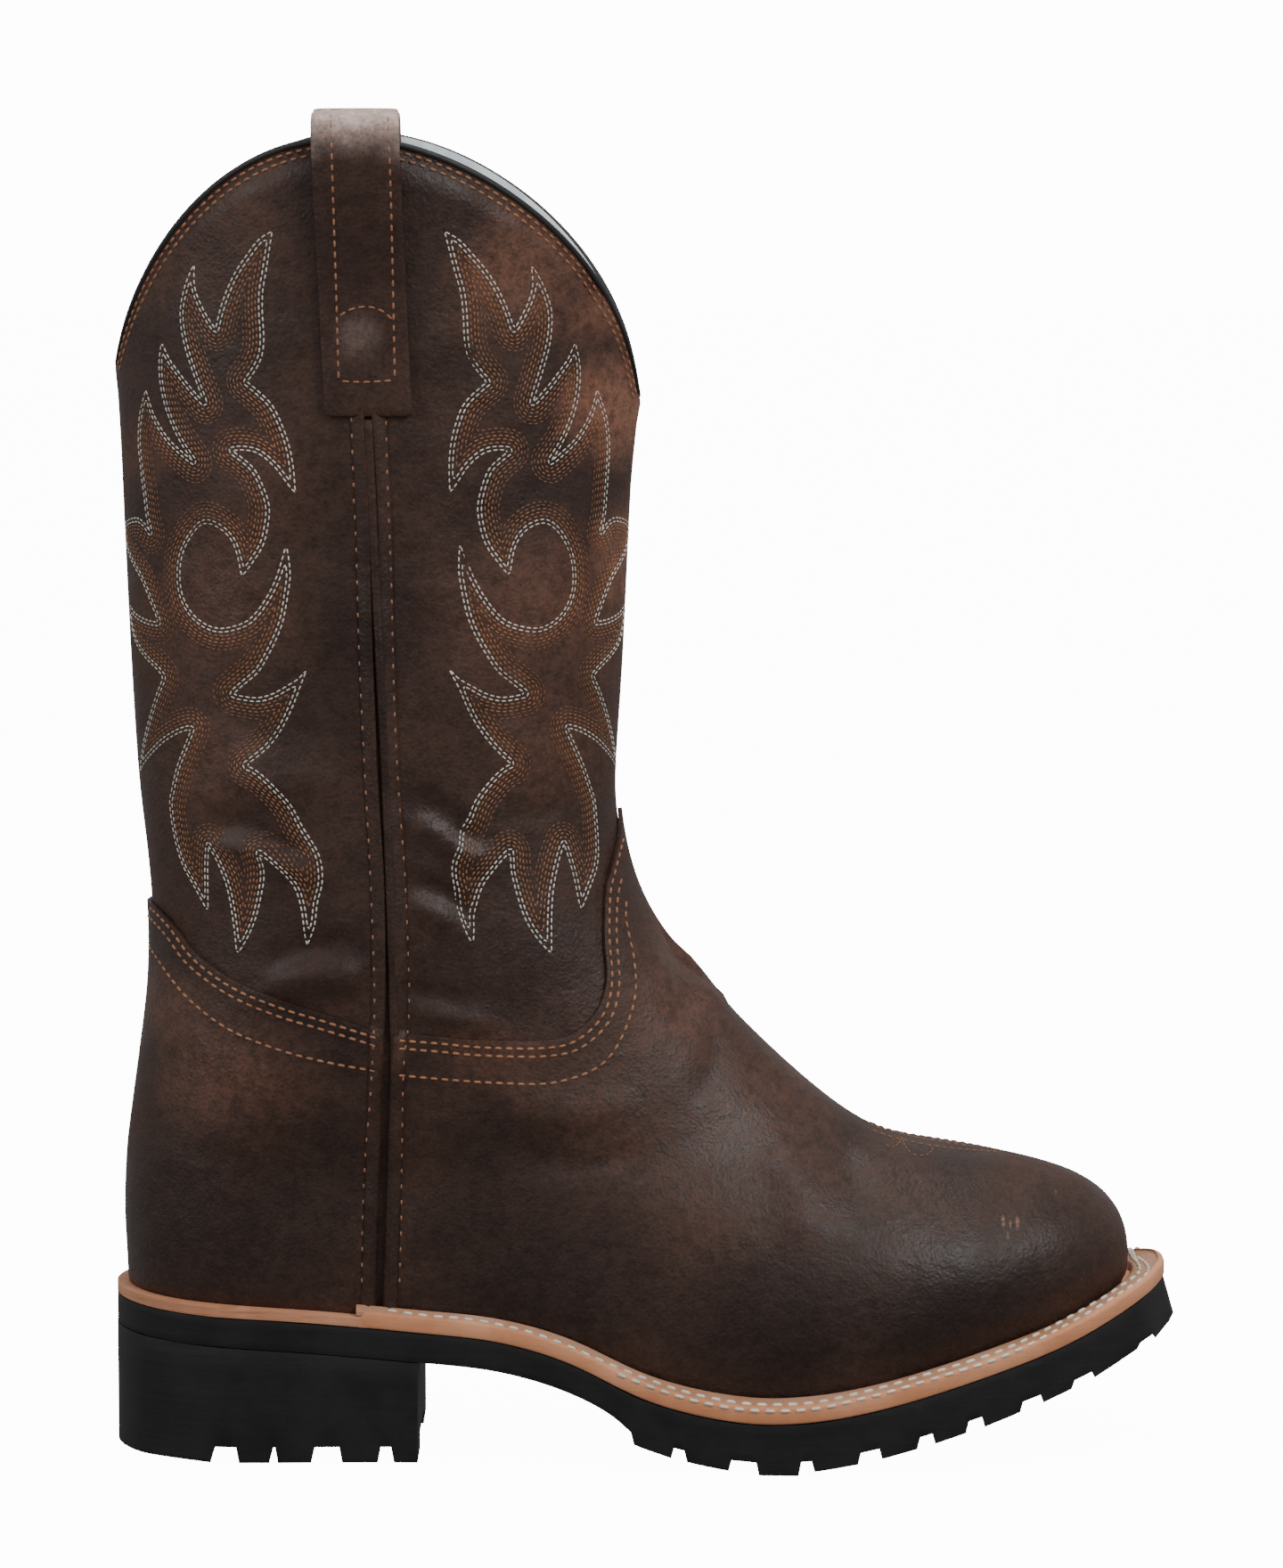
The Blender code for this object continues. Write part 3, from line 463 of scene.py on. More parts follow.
def tanMaterial(name, base, pale, dark, streak):
    # trimmed leather edge: fine fibres along the sole, paler and darker patches
    made, tree, shader = newMaterial(name)
    place = objectPlace(tree)
    fibres = stretchedNoise(tree, place, *trimmed["fibres"])
    cloud = remap(tree, noiseOf(tree, place, *trimmed["cloud"]), *trimmed["cloudRange"])
    colour = blendColour(tree, cloud, base, pale)
    colour = blendColour(tree, remap(tree, fibres, *trimmed["fibreRange"], 0.0, streak), colour, dark)
    normal = bumpOf(tree, fibres, trimmed["fibreDepth"], streak)
    normal = bumpOf(tree, noiseOf(tree, place, *trimmed["grain"]), *trimmed["grainBump"], normal)
    finishLook(tree, shader, colour, trimmed["roughness"], normal, trimmed["specular"])
    return made


tanEdge = tanMaterial("tanMidsoleEdge", (0.54, 0.235, 0.125, 1.0), (0.68, 0.33, 0.19, 1.0),
                      (0.30, 0.12, 0.065, 1.0), 0.55)
tanWelt = tanMaterial("tanWelt", (0.47, 0.235, 0.135, 1.0), (0.60, 0.33, 0.21, 1.0),
                      (0.30, 0.14, 0.09, 1.0), 0.12)
tanRim = tanMaterial("tanRim", (0.66, 0.265, 0.125, 1.0), (0.80, 0.37, 0.20, 1.0),
                     (0.38, 0.16, 0.085, 1.0), 0.22)

plain = {
    "cloud": (90.0, 4.0, 0.6),
    "cloudRange": (0.3, 0.7),
    "dim": 0.72,
    "grain": (2.0, 0.5),
    "strength": 0.6,
}


def plainMaterial(name, colour, roughness, grain=1400.0, depth=0.0001):
    # trim, cloth, board and thread: a faint cloud and a fine grain
    made, tree, shader = newMaterial(name)
    place = objectPlace(tree)
    cloud = remap(tree, noiseOf(tree, place, *plain["cloud"]), *plain["cloudRange"])
    dim = tuple(c * plain["dim"] for c in colour[:3]) + (1.0,)
    normal = bumpOf(tree, noiseOf(tree, place, grain, *plain["grain"]), depth, plain["strength"])
    finishLook(tree, shader, blendColour(tree, cloud, dim, colour), roughness, normal)
    return made


def threadMaterial(name, colour, roughness=0.45):
    return plainMaterial(name, colour, roughness, 3000.0, 0.00005)


blackTrim = plainMaterial("blackTrim", (0.016, 0.013, 0.013, 1.0), 0.5)
liningCloth = plainMaterial("paleLining", (0.86, 0.95, 0.99, 1.0), 0.8, 700.0, 0.0002)
insoleBoard = plainMaterial("insoleBoard", (0.42, 0.33, 0.24, 1.0), 0.8, 500.0, 0.0002)
rustThread = threadMaterial("rustThread", (0.45, 0.19, 0.085, 1.0))
brownThread = threadMaterial("brownThread", (0.44, 0.20, 0.105, 1.0))
darkThread = threadMaterial("darkThread", (0.27, 0.115, 0.058, 1.0), 0.5)
paleThread = threadMaterial("paleThread", (0.98, 0.92, 0.80, 1.0))
creamThread = threadMaterial("creamThread", (0.98, 0.90, 0.74, 1.0))
print("materials made")


# the upper: one wall, its skin smoothed
upperWall = copyNode("upper", "upperWall")
creaseSharpEdges(upperWall, 62.0)
applyModifier(upperWall, "SUBSURF", levels=2, render_levels=2)
print("upper", len(upperWall.data.polygons), "faces")


skinTurn = 48.0  # degrees; the collar and the welt's seat turn more sharply than the leather does


def outerFaces(piece):
    # the faces outside, found by spreading from the toe without turning a sharp corner
    bm = bmesh.new()
    bm.from_mesh(piece.data)
    bm.faces.ensure_lookup_table()
    first = max(bm.faces, key=lambda f: f.calc_center_median().x)
    found, queue = {first.index}, [first]
    while queue:
        face = queue.pop()
        for edge in face.edges:
            if len(edge.link_faces) != 2 or edge.calc_face_angle(3.0) > math.radians(skinTurn):
                continue
            for other in edge.link_faces:
                if other.index not in found:
                    found.add(other.index)
                    queue.append(other)
    bm.free()
    return found


outside = outerFaces(upperWall)
print("outside faces", len(outside))
upperWall.data.materials.append(shaftLeather)
upperWall.data.materials.append(liningCloth)
for face in upperWall.data.polygons:
    face.material_index = 0 if face.index in outside else 1
smoothShade(upperWall)


# creases: soft troughs and ridges, drawn in points of the photo
def photoPlace(co):
    # where a point of the scene falls in the photo
    tilt = math.radians(photoView["tilt"])
    away = co - Vector(photoView["place"])
    up = away.y * math.cos(tilt) + away.z * math.sin(tilt)
    depth = away.y * math.sin(tilt) - away.z * math.cos(tilt)
    size = photoView["lens"] / photoView["sensor"] * photoView["height"] / depth
    return photoView["width"] / 2 + away.x * size, photoView["height"] / 2 - up * size


creases = [
    # depth in mm (a ridge is above 0), half width in photo points, line
    (-0.9, 9, [(436, 592), (479, 596), (512, 606), (540, 626)]),
    (0.8, 10, [(440, 610), (485, 614), (525, 628), (570, 650), (600, 668)]),
    (-0.6, 8, [(560, 662), (590, 682), (610, 690)]),
    (-0.8, 8, [(322, 633), (350, 640), (394, 634)]),
    (0.6, 7, [(325, 648), (360, 654), (398, 648)]),
    (-0.6, 7, [(325, 662), (355, 668), (385, 664)]),
    (0.5, 8, [(318, 682), (350, 686), (392, 680)]),
    (-1.0, 10, [(447, 738), (480, 740), (512, 752)]),
    (0.8, 10, [(447, 758), (480, 762), (520, 776), (560, 796)]),
    (-0.7, 10, [(470, 352), (495, 388), (512, 425), (521, 455)]),
    (0.5, 9, [(460, 380), (484, 410), (500, 450)]),
    (-0.5, 7, [(615, 352), (640, 372), (664, 391)]),
    (-0.5, 7, [(640, 330), (662, 345), (690, 352)]),
    (-1.0, 10, [(220, 926), (270, 930), (310, 948), (345, 966)]),
    (0.8, 11, [(232, 945), (280, 950), (320, 968), (360, 984)]),
    (-1.1, 11, [(452, 898), (490, 912), (520, 934), (548, 948)]),
    (1.0, 12, [(455, 920), (490, 934), (520, 956), (556, 975)]),
    (-1.2, 10, [(454, 994), (486, 1000), (512, 1014), (530, 1036)]),
    (0.9, 12, [(455, 1016), (488, 1024), (515, 1042)]),
    (-0.8, 12, [(290, 1092), (330, 1072), (370, 1064), (412, 1062)]),
    (1.6, 20, [(300, 1112), (340, 1096), (380, 1094), (418, 1096)]),
    (0.9, 12, [(470, 1128), (510, 1140), (555, 1150)]),
    (-0.8, 10, [(450, 1110), (490, 1122), (530, 1134)]),
    (-0.5, 8, [(570, 905), (600, 915), (640, 905)]),
    (-0.6, 16, [(180, 560), (230, 590), (280, 600)]),
    (0.6, 18, [(640, 620), (600, 700), (580, 780)]),
    (-0.7, 20, [(230, 780), (300, 820), (380, 830)]),
    (0.9, 26, [(250, 860), (320, 880), (390, 880)]),
    (-0.9, 16, [(730, 1030), (760, 1075), (770, 1120), (755, 1160)]),
    (0.8, 18, [(760, 1040), (795, 1090), (805, 1140)]),
    (-0.6, 14, [(790, 1150), (800, 1190), (780, 1240)]),
    (0.7, 22, [(560, 1235), (640, 1250), (720, 1235)]),
    (-0.6, 18, [(560, 1290), (650, 1310), (740, 1290)]),
    (0.8, 24, [(860, 1290), (900, 1340), (900, 1400)]),
    (-0.6, 18, [(930, 1280), (960, 1330), (970, 1390)]),
]


creasing = {
    "lift": 1.9,  # all creases deeper or flatter
    "fade": 4.0,  # how soon a crease reaches its depth from its ends
    "endDepth": 0.12,
    "innerShift": (14.0, -22.0),  # the inner side's creases, moved in photo points
    "collar": 0.36,  # no creases from here up
    "collarFade": 0.02,
}


def creaseDepth(points):
    # how far each point of an array of photo places moves out, in metres
    moved = np.zeros(len(points))
    for depth, halfWidth, line in creases:
        curve = np.array([(p.x, p.y) for p in smoothLine([(x, y, 0.0) for x, y in line], 6)])
        low, high = curve.min(0) - 3 * halfWidth, curve.max(0) + 3 * halfWidth
        near = np.nonzero(((points > low) & (points < high)).all(1))[0]
        if len(near) == 0:
            continue
        apart = np.linalg.norm(points[near][:, None] - curve[None], axis=2)
        along = apart.argmin(1) / (len(curve) - 1)
        fade = np.clip(np.minimum(along, 1.0 - along) * creasing["fade"], creasing["endDepth"], 1.0)
        moved[near] += creasing["lift"] * depth / 1000.0 * fade * np.exp(-(apart.min(1) / halfWidth) ** 2)
    return moved


def creaseUpper(piece, outsideFaces):
    skin = set()
    for face in piece.data.polygons:
        if face.index in outsideFaces:
            skin.update(face.vertices)
    away = np.array([v.normal * (1.0 if v.index in skin else -1.0) for v in piece.data.vertices])
    places = [v.co.copy() for v in piece.data.vertices]
    moved = np.zeros(len(places))
    for side, shift in ((-1.0, (0.0, 0.0)), (1.0, creasing["innerShift"])):
        chosen = [i for i, co in enumerate(places) if co.y * side > 0.0]
        seen = [photoPlace(Vector((places[i].x, -abs(places[i].y), places[i].z))) for i in chosen]
        moved[chosen] = creaseDepth(np.array(seen) + np.array(shift))
    below = np.array([creasing["collar"] - co.z for co in places])
    edge = np.clip(below / creasing["collarFade"], 0.0, 1.0)
    for vert, direction, size in zip(piece.data.vertices, away, moved * edge):
        vert.co += Vector(direction) * float(size)


def smoothLine(points, steps=8):
    # a smooth curve through points, as many steps between each two
    points = [Vector(p) for p in points]
    made = []
    for i in range(len(points) - 1):
        before = points[max(i - 1, 0)]
        after = points[min(i + 2, len(points) - 1)]
        a, b = points[i], points[i + 1]
        for k in range(steps):
            t = k / steps
            made.append(0.5 * ((2 * a) + (b - before) * t + (2 * before - 5 * a + 4 * b - after) * t * t
                               + (3 * a - before - 3 * b + after) * t ** 3))
    made.append(points[-1])
    return made


creaseUpper(upperWall, outside)
print("creases laid")


# panels laid over the upper, cut along an edge drawn in side view
def skinCopy(name):
    bm = bmesh.new()
    bm.from_mesh(upperWall.data)
    gone = [f for f in bm.faces if f.index not in outside]
    bmesh.ops.delete(bm, geom=gone, context="FACES")
    for face in bm.faces:
        face.material_index = 0
    mesh = bpy.data.meshes.new(name)
    bm.to_mesh(mesh)
    bm.free()
    piece = bpy.data.objects.new(name, mesh)
    bpy.context.scene.collection.objects.link(piece)
    return piece


def clipByField(piece, field):
    # cuts every face along the line where the field is zero, and drops the negative side
    bm = bmesh.new()
    bm.from_mesh(piece.data)
    value = {v: field(v.co) for v in bm.verts}
    for vert, size in value.items():
        if abs(size) < 1e-6:
            value[vert] = 1e-6
    for edge in list(bm.edges):
        a, b = edge.verts
        if value[a] * value[b] < 0.0:
            share = value[a] / (value[a] - value[b])
            made = bmesh.utils.edge_split(edge, a, share)[1]
            value[made] = 0.0
    for face in list(bm.faces):
        zeros = [v for v in face.verts if value.get(v, 0.0) == 0.0]
        if len(zeros) == 2 and not bm.edges.get(zeros):
            bmesh.utils.face_split(face, zeros[0], zeros[1])
    gone = []
    for face in bm.faces:
        signs = [value.get(v, 0.0) for v in face.verts]
        if min(signs) < 0.0:
            gone.append(face)
    bmesh.ops.delete(bm, geom=gone, context="FACES")
    islands, seen = [], set()
    for first in bm.faces:
        if first in seen:
            continue
        island, queue = [first], [first]
        seen.add(first)
        while queue:
            for edge in queue.pop().edges:
                for other in edge.link_faces:
                    if other not in seen:
                        seen.add(other)
                        island.append(other)
                        queue.append(other)
        islands.append(island)
    islands.sort(key=len)
    for island in islands[:-1]:
        bmesh.ops.delete(bm, geom=island, context="FACES")
    bm.to_mesh(piece.data)
    bm.free()


fullSkin = surfaceTree([upperWall])


def onPhoto(points, tree, steps=8):
    # points of the photo carried onto the outer side of the boot, as (place, normal)
    made = []
    for p in smoothLine([(x, y, 0.0) for x, y in points], steps):
        origin, direction = photoRay(p.x, p.y)
        place, normal = tree.ray_cast(origin, direction)[:2]
        if place is not None:
            made.append((place, normal))
    return made


seamLine = [(413, 440), (413, 465), (419, 566), (422, 692), (428, 861), (436, 994), (437, 1128),
            (435, 1172), (431, 1297), (426, 1452), (425, 1480)]
vampEdge = [(441, 1158), (496, 1163), (540, 1167), (606, 1168), (641, 1161), (668, 1136), (679, 1101),
            (676, 1053), (677, 1000), (683, 975), (693, 930), (690, 870)]
counterEdge = [(424, 1157), (364, 1137), (320, 1123), (276, 1106), (245, 1088), (219, 1066), (197, 1037),
               (179, 1018), (168, 1009)]


def sidePolygon(line, steps=6):
    # side view outline as (x, z), from points of the photo cast on the skin
    return [(place.x, place.z) for place, normal in onPhoto(line, fullSkin, steps)]


def insideField(outline):
    # distance to a closed outline in side view, positive inside it
    points = np.array(outline)
    ahead = np.roll(points, -1, axis=0)
    run = ahead - points
    length = (run ** 2).sum(1)

    def field(co):
        p = np.array((co.x, co.z))
        t = np.clip(((p - points) * run).sum(1) / np.maximum(length, 1e-12), 0.0, 1.0)
        near = np.sqrt((((points + run * t[:, None]) - p) ** 2).sum(1).min())
        crossing = (points[:, 1] > p[1]) != (ahead[:, 1] > p[1])
        with np.errstate(divide="ignore", invalid="ignore"):
            xs = points[:, 0] + (p[1] - points[:, 1]) / (ahead[:, 1] - points[:, 1]) * run[:, 0]
        inside = np.count_nonzero(crossing & (p[0] < xs)) % 2 == 1
        return near if inside else -near

    return field


seamSide = sidePolygon(seamLine)
vampSide = sidePolygon(vampEdge)
counterSide = sidePolygon(counterEdge)
seamHalf = 0.0021


def seamBeside(way, top):
    return [(x + way * seamHalf, z) for x, z in seamSide if z < top]


vampOutline = vampSide + [(0.30, vampSide[-1][1] + 0.001), (0.30, -0.05)]
vampOutline += [(seamSide[-1][0] + seamHalf, -0.05)] + seamBeside(1.0, vampSide[0][1])[::-1]
counterOutline = counterSide + [(-0.10, counterSide[-1][1]), (-0.10, -0.05)]
counterOutline += [(seamSide[-1][0] - seamHalf, -0.05)] + seamBeside(-1.0, counterSide[0][1])[::-1]

panels = {"gap": 0.0002, "thickness": 0.0013, "roundness": 0.00045}


def overlayPanel(name, outline, finish):
    piece = skinCopy(name)
    clipByField(piece, insideField(outline))
    normals = [v.normal.copy() for v in piece.data.vertices]
    for vert, normal in zip(piece.data.vertices, normals):
        vert.co += normal * panels["gap"]
    applyModifier(piece, "SOLIDIFY", thickness=panels["thickness"], offset=1.0, use_even_offset=False)
    applyModifier(piece, "BEVEL", width=panels["roundness"], segments=2, limit_method="ANGLE",
                  angle_limit=math.radians(60))
    piece.data.materials.append(finish)
    smoothShade(piece)
    return piece


vampPanel = overlayPanel("vampPanel", vampOutline, footLeather)
counterPanel = overlayPanel("counterPanel", counterOutline, footLeather)
print("vamp", len(vampPanel.data.polygons), "counter", len(counterPanel.data.polygons))


# the sole, trim and straps: the CAD solids smoothed and edged
def hardPiece(node, name, finish, level, angle, edge, shade=40.0):
    piece = copyNode(node, name)
    creaseSharpEdges(piece, angle)
    applyModifier(piece, "SUBSURF", levels=level, render_levels=level)
    if edge:
        applyModifier(piece, "BEVEL", width=edge, segments=2, limit_method="ANGLE",
                      angle_limit=math.radians(angle), use_clamp_overlap=True)
    piece.data.materials.append(finish)
    smoothShade(piece, shade)
    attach(piece, "root")
    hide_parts(node)
    return piece


outsolePiece = hardPiece("outsole", "outsoleRubber", rubber, 2, 28.0, 0.0005)
heelPiece = hardPiece("heel", "heelRubber", rubber, 2, 28.0, 0.0005)
midsolePiece = hardPiece("midsole", "midsoleLayer", tanEdge, 2, 40.0, 0.0003)
weltPiece = hardPiece("welt", "weltStrip", tanWelt, 2, 28.0, 0.0003)
insolePiece = hardPiece("insole", "insoleLayer", insoleBoard, 1, 40.0, 0.0003)
pipingOuter = hardPiece("side_piping_outer", "sidePipingOuter", cordLeather, 2, 75.0, 0.0, 180.0)
pipingInner = hardPiece("side_piping_inner", "sidePipingInner", cordLeather, 2, 75.0, 0.0, 180.0)


def rimLoop():
    # the collar's outer edge in order, with the directions out of and up from the wall
    bm = bmesh.new()
    bm.from_mesh(upperWall.data)
    ways = {}
    for edge in bm.edges:
        sides = [face.index in outside for face in edge.link_faces]
        if len(sides) == 2 and sides[0] != sides[1] and edge.verts[0].co.z > 0.2:
            a, b = edge.verts
            ways.setdefault(a.index, []).append(b.index)
            ways.setdefault(b.index, []).append(a.index)
    first = next(iter(ways))
    order, last, at = [first], None, first
    while True:
        ahead = [n for n in ways[at] if n != last]
        if not ahead or ahead[0] == first:
            break
        last, at = at, ahead[0]
        order.append(at)
    bm.verts.ensure_lookup_table()
    places = np.array([tuple(bm.verts[i].co) for i in order])
    bm.free()
    for step in range(3):
        places = (np.roll(places, 1, 0) + 2.0 * places + np.roll(places, -1, 0)) / 4.0
    runs = np.roll(places, -1, 0) - np.roll(places, 1, 0)
    runs /= np.linalg.norm(runs, axis=1, keepdims=True)
    middle = places.mean(0)
    outs = np.cross(runs, (0.0, 0.0, 1.0))
    outs *= np.sign(((places - middle) * outs).sum(1, keepdims=True))
    outs[:, 2] = 0.0
    outs /= np.linalg.norm(outs, axis=1, keepdims=True)
    ups = np.cross(outs, runs)
    ups *= np.sign(ups[:, 2:])
    return places, outs, ups


def sweptPiece(name, rows, finish, shade=180.0, closed=False):
    # a body through rows of corners; its ends are capped unless it closes on itself
    total, count = len(rows), len(rows[0])
    faces = []
    for k in range(total if closed else total - 1):
        n = (k + 1) % total
        for j in range(count):
            m = (j + 1) % count
            faces.append((k * count + j, k * count + m, n * count + m, n * count + j))
    if not closed:
        faces.append(tuple(range(count)))
        faces.append(tuple(range((total - 1) * count, total * count))[::-1])
    piece = meshPiece(name, [corner for row in rows for corner in row], faces)
    bm = bmesh.new()
    bm.from_mesh(piece.data)
    bmesh.ops.recalc_face_normals(bm, faces=bm.faces[:])
    bm.to_mesh(piece.data)
    bm.free()
    piece.data.materials.append(finish)
    smoothShade(piece, shade)
    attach(piece, "root")
    return piece


band = {
    "middle": (0.12, 0.005, 0.0),  # every part of the welt's outline is seen from here
    "far": 0.3,
    "turnStep": 0.75,
    "heightStep": 0.0004,
    "near": 0.0012,
    "spacing": 0.0010,
    "passes": 8,
    # out of and up from the midsole's upper rim
    "profile": [(-0.0006, -0.0027), (0.0002, -0.0027), (0.00045, -0.0021), (0.00045, 0.0010), (0.0002, 0.0017),
                (-0.0004, 0.0020), (-0.0013, 0.0021), (-0.0013, 0.0008)],
}


def edgeBand():
    # the line of one rounded edge over the welt and the midsole, from one cut end round the toe to the other
    start = min(v.co.x for v in weltPiece.data.vertices)
    bm = bmesh.new()
    bm.from_mesh(midsolePiece.data)
    bm.normal_update()
    rim = np.array(sorted((v.co.x, v.co.z) for v in bm.verts if v.normal.z > 0.2 and v.normal.xy.length > 0.3))
    bm.free()
    middle = Vector(band["middle"])
    tree = surfaceTree([weltPiece, midsolePiece])
    heights = np.arange(rim[:, 1].min() - 0.001, rim[:, 1].max() + 0.002, band["heightStep"])
    line = []
    for turn in np.radians(np.arange(-179.0, 179.5, band["turnStep"])):
        way = Vector((math.cos(turn), math.sin(turn), 0.0))
        best = None
        for z in heights:
            hit = tree.ray_cast(middle + way * band["far"] + Vector((0.0, 0.0, z)), -way)[0]
            if hit is None or hit.x <= start:
                continue
            level = float(np.interp(hit.x, rim[:, 0], rim[:, 1]))
            reach = (hit - middle).xy.length
            if abs(z - level) < band["near"] and (best is None or reach > best[0]):
                best = (reach, (hit.x, hit.y, level))
        if best is not None:
            line.append(best[1])
    line = np.array(line)
    steps = np.concatenate(([0.0], np.cumsum(np.linalg.norm(np.diff(line, axis=0), axis=1))))
    ats = np.linspace(0.0, steps[-1], int(steps[-1] / band["spacing"]))
    places = np.stack([np.interp(ats, steps, line[:, k]) for k in range(3)], axis=1)
    for step in range(band["passes"]):
        places[1:-1] = (places[:-2] + 2.0 * places[1:-1] + places[2:]) / 4.0
    runs = np.gradient(places, axis=0)
    runs /= np.linalg.norm(runs, axis=1, keepdims=True)
    outs = np.cross(runs, (0.0, 0.0, 1.0))
    outs[:, 2] = 0.0
    outs /= np.linalg.norm(outs, axis=1, keepdims=True)
    outs *= np.sign(((places - np.array(middle)) * outs).sum(1, keepdims=True))
    return places, outs


edgePlaces, edgeOuts = edgeBand()
print("edge band", len(edgePlaces))
bandRows = [[place + out * o + np.array((0.0, 0.0, u)) for o, u in band["profile"]]
            for place, out in zip(edgePlaces, edgeOuts)]
weltEdge = sweptPiece("weltEdge", bandRows, tanRim, 60.0)

# the collar's binding: out of and up from the wall's outer edge
rimPlaces, rimOuts, rimUps = rimLoop()
bindingProfile = [(0.0000, -0.0014), (0.00035, -0.0011), (0.00042, -0.0004), (0.0001, 0.0003), (-0.0007, 0.0005),
                  (-0.0013, 0.0003), (-0.0015, -0.0002), (-0.0012, -0.0008)]
bindingRows = [[place + out * o + up * u for o, u in bindingProfile]
               for place, out, up in zip(rimPlaces, rimOuts, rimUps)]
bindingPiece = sweptPiece("collarBinding", bindingRows, blackTrim, closed=True)
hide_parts("collar_binding")
strapOuter = hardPiece("pull_strap_outer", "pullStrapOuter", strapLeather, 3, 120.0, 0.0, 180.0)
strapInner = hardPiece("pull_strap_inner", "pullStrapInner", strapLeather, 3, 120.0, 0.0, 180.0)
strapLean = {"by": 0.0014, "from": 0.35, "over": 0.03}
for vert in strapInner.data.vertices:
    # the far strap leans back a little, behind the near one
    vert.co.x -= strapLean["by"] * min(max((vert.co.z - strapLean["from"]) / strapLean["over"], 0.0), 1.0)
for piece, node, slotName in ((upperWall, "upper", "shaft_leather"), (vampPanel, "vamp", "foot_leather"),
                              (counterPanel, "counter", "foot_leather")):
    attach(piece, "root")
    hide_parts(node)
print("pieces made")


# stitches: rows of low thread bodies sunk a little into the leather
threadBins = {}


def addStitch(kind, middle, along, normal, length, width, height):
    # one stitch: a lens-shaped body with its axis along the row
    across = normal.cross(along).normalized()
    vertices, faces = threadBins.setdefault(kind, ([], []))
    start = len(vertices)
    half = along * (length / 2.0)
    vertices.append(middle - half)
    for share in (-0.55, 0.55):
        for side, lift in ((-1.0, 0.0), (0.0, 1.0), (1.0, 0.0), (0.0, -0.8)):
            vertices.append(middle + half * share + across * (side * width / 2.0) + normal * (lift * height))
    vertices.append(middle + half)
    for k in range(4):
        n = (k + 1) % 4
        faces.append((start, start + 1 + n, start + 1 + k))
        faces.append((start + 1 + k, start + 1 + n, start + 5 + n, start + 5 + k))
        faces.append((start + 9, start + 5 + k, start + 5 + n))


def sewRow(kind, path, pitch, length, width, height):
    # stitches at an even pitch along a path of (place, normal)
    if len(path) < 2:
        return
    places = np.array([tuple(p) for p, n in path])
    normals = np.array([tuple(n) for p, n in path])
    steps = np.concatenate(([0.0], np.cumsum(np.linalg.norm(np.diff(places, axis=0), axis=1))))
    count = max(int(round(steps[-1] / pitch)), 1)
    pitch = steps[-1] / count
    for i in range(count):
        at = (i + 0.5) * pitch
        ends = [np.array([np.interp(at + d, steps, places[:, k]) for k in range(3)])
                for d in (-length / 2, length / 2)]
        normal = Vector([np.interp(at, steps, normals[:, k]) for k in range(3)]).normalized()
        along = Vector(ends[1] - ends[0])
        if along.length < length * 0.4 or along.length > length * 1.2:
            continue
        middle = Vector((ends[0] + ends[1]) / 2.0)
        addStitch(kind, middle, along.normalized(), normal, along.length, width, height)


def makeThreads(finishes):
    for kind, finish in finishes.items():
        piece = meshPiece(kind, *threadBins[kind])
        piece.data.materials.append(finish)
        smoothShade(piece)
        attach(piece, "root")
        print(kind, len(piece.data.polygons))


leatherTree = surfaceTree([upperWall, vampPanel, counterPanel])

farOut = 0.2  # well outside the boot, where rays start
# raised leather strips on both sides of the cord: offset from it, height over the leather
stripProfile = [(0.0010, 0.0006), (0.0011, 0.0017), (0.0017, 0.0021), (0.0030, 0.0015), (0.0046, 0.0007),
                (0.0054, 0.0001), (0.0054, -0.0006), (0.0010, -0.0006)]
stripEnds = [(412, 440), (413, 465), (419, 566), (422, 692), (428, 861), (436, 994), (437, 1128),
             (435, 1172), (431, 1297), (426, 1452), (425, 1484)]


def seamStrip(name, path, way, side):
    rows = []
    for k, (place, normal) in enumerate(path):
        before, after = path[max(k - 2, 0)][0], path[min(k + 2, len(path) - 1)][0]
        run = (after - before).normalized()
        across = Vector((1.0, 0.0, 0.0))
        across = (across - run * across.dot(run)).normalized() * way
        row = []
        for offset, height in stripProfile:
            spot = place + across * offset
            hit = leatherTree.ray_cast(Vector((spot.x, side * farOut, spot.z)), Vector((0.0, -side, 0.0)))[0]
            row.append((hit if hit is not None else spot) + Vector((0.0, side, 0.0)) * height)
        rows.append(row)
    piece = sweptPiece(name, rows, shaftLeather, 60.0)
    return piece


stripMiddle = onPhoto(stripEnds, fullSkin, 10)
strips = []
for sideName, side in (("Outer", -1.0), ("Inner", 1.0)):
    line = [(Vector((p.x, side * abs(p.y), p.z)), n) for p, n in stripMiddle]
    for wayName, way in (("Back", -1.0), ("Front", 1.0)):
        strips.append(seamStrip("seamStrip" + sideName + wayName, line, way, side))
leatherTree = surfaceTree([upperWall, vampPanel, counterPanel] + strips)
strapTree = surfaceTree([strapOuter])


def otherSide(path, tree):
    # the same row on the inner side: each place seen again from +Y
    made = []
    for place, normal in path:
        hit, turned = tree.ray_cast(Vector((place.x, farOut, place.z)), Vector((0.0, -1.0, 0.0)))[:2]
        if hit is not None:
            made.append((hit, turned))
    return made


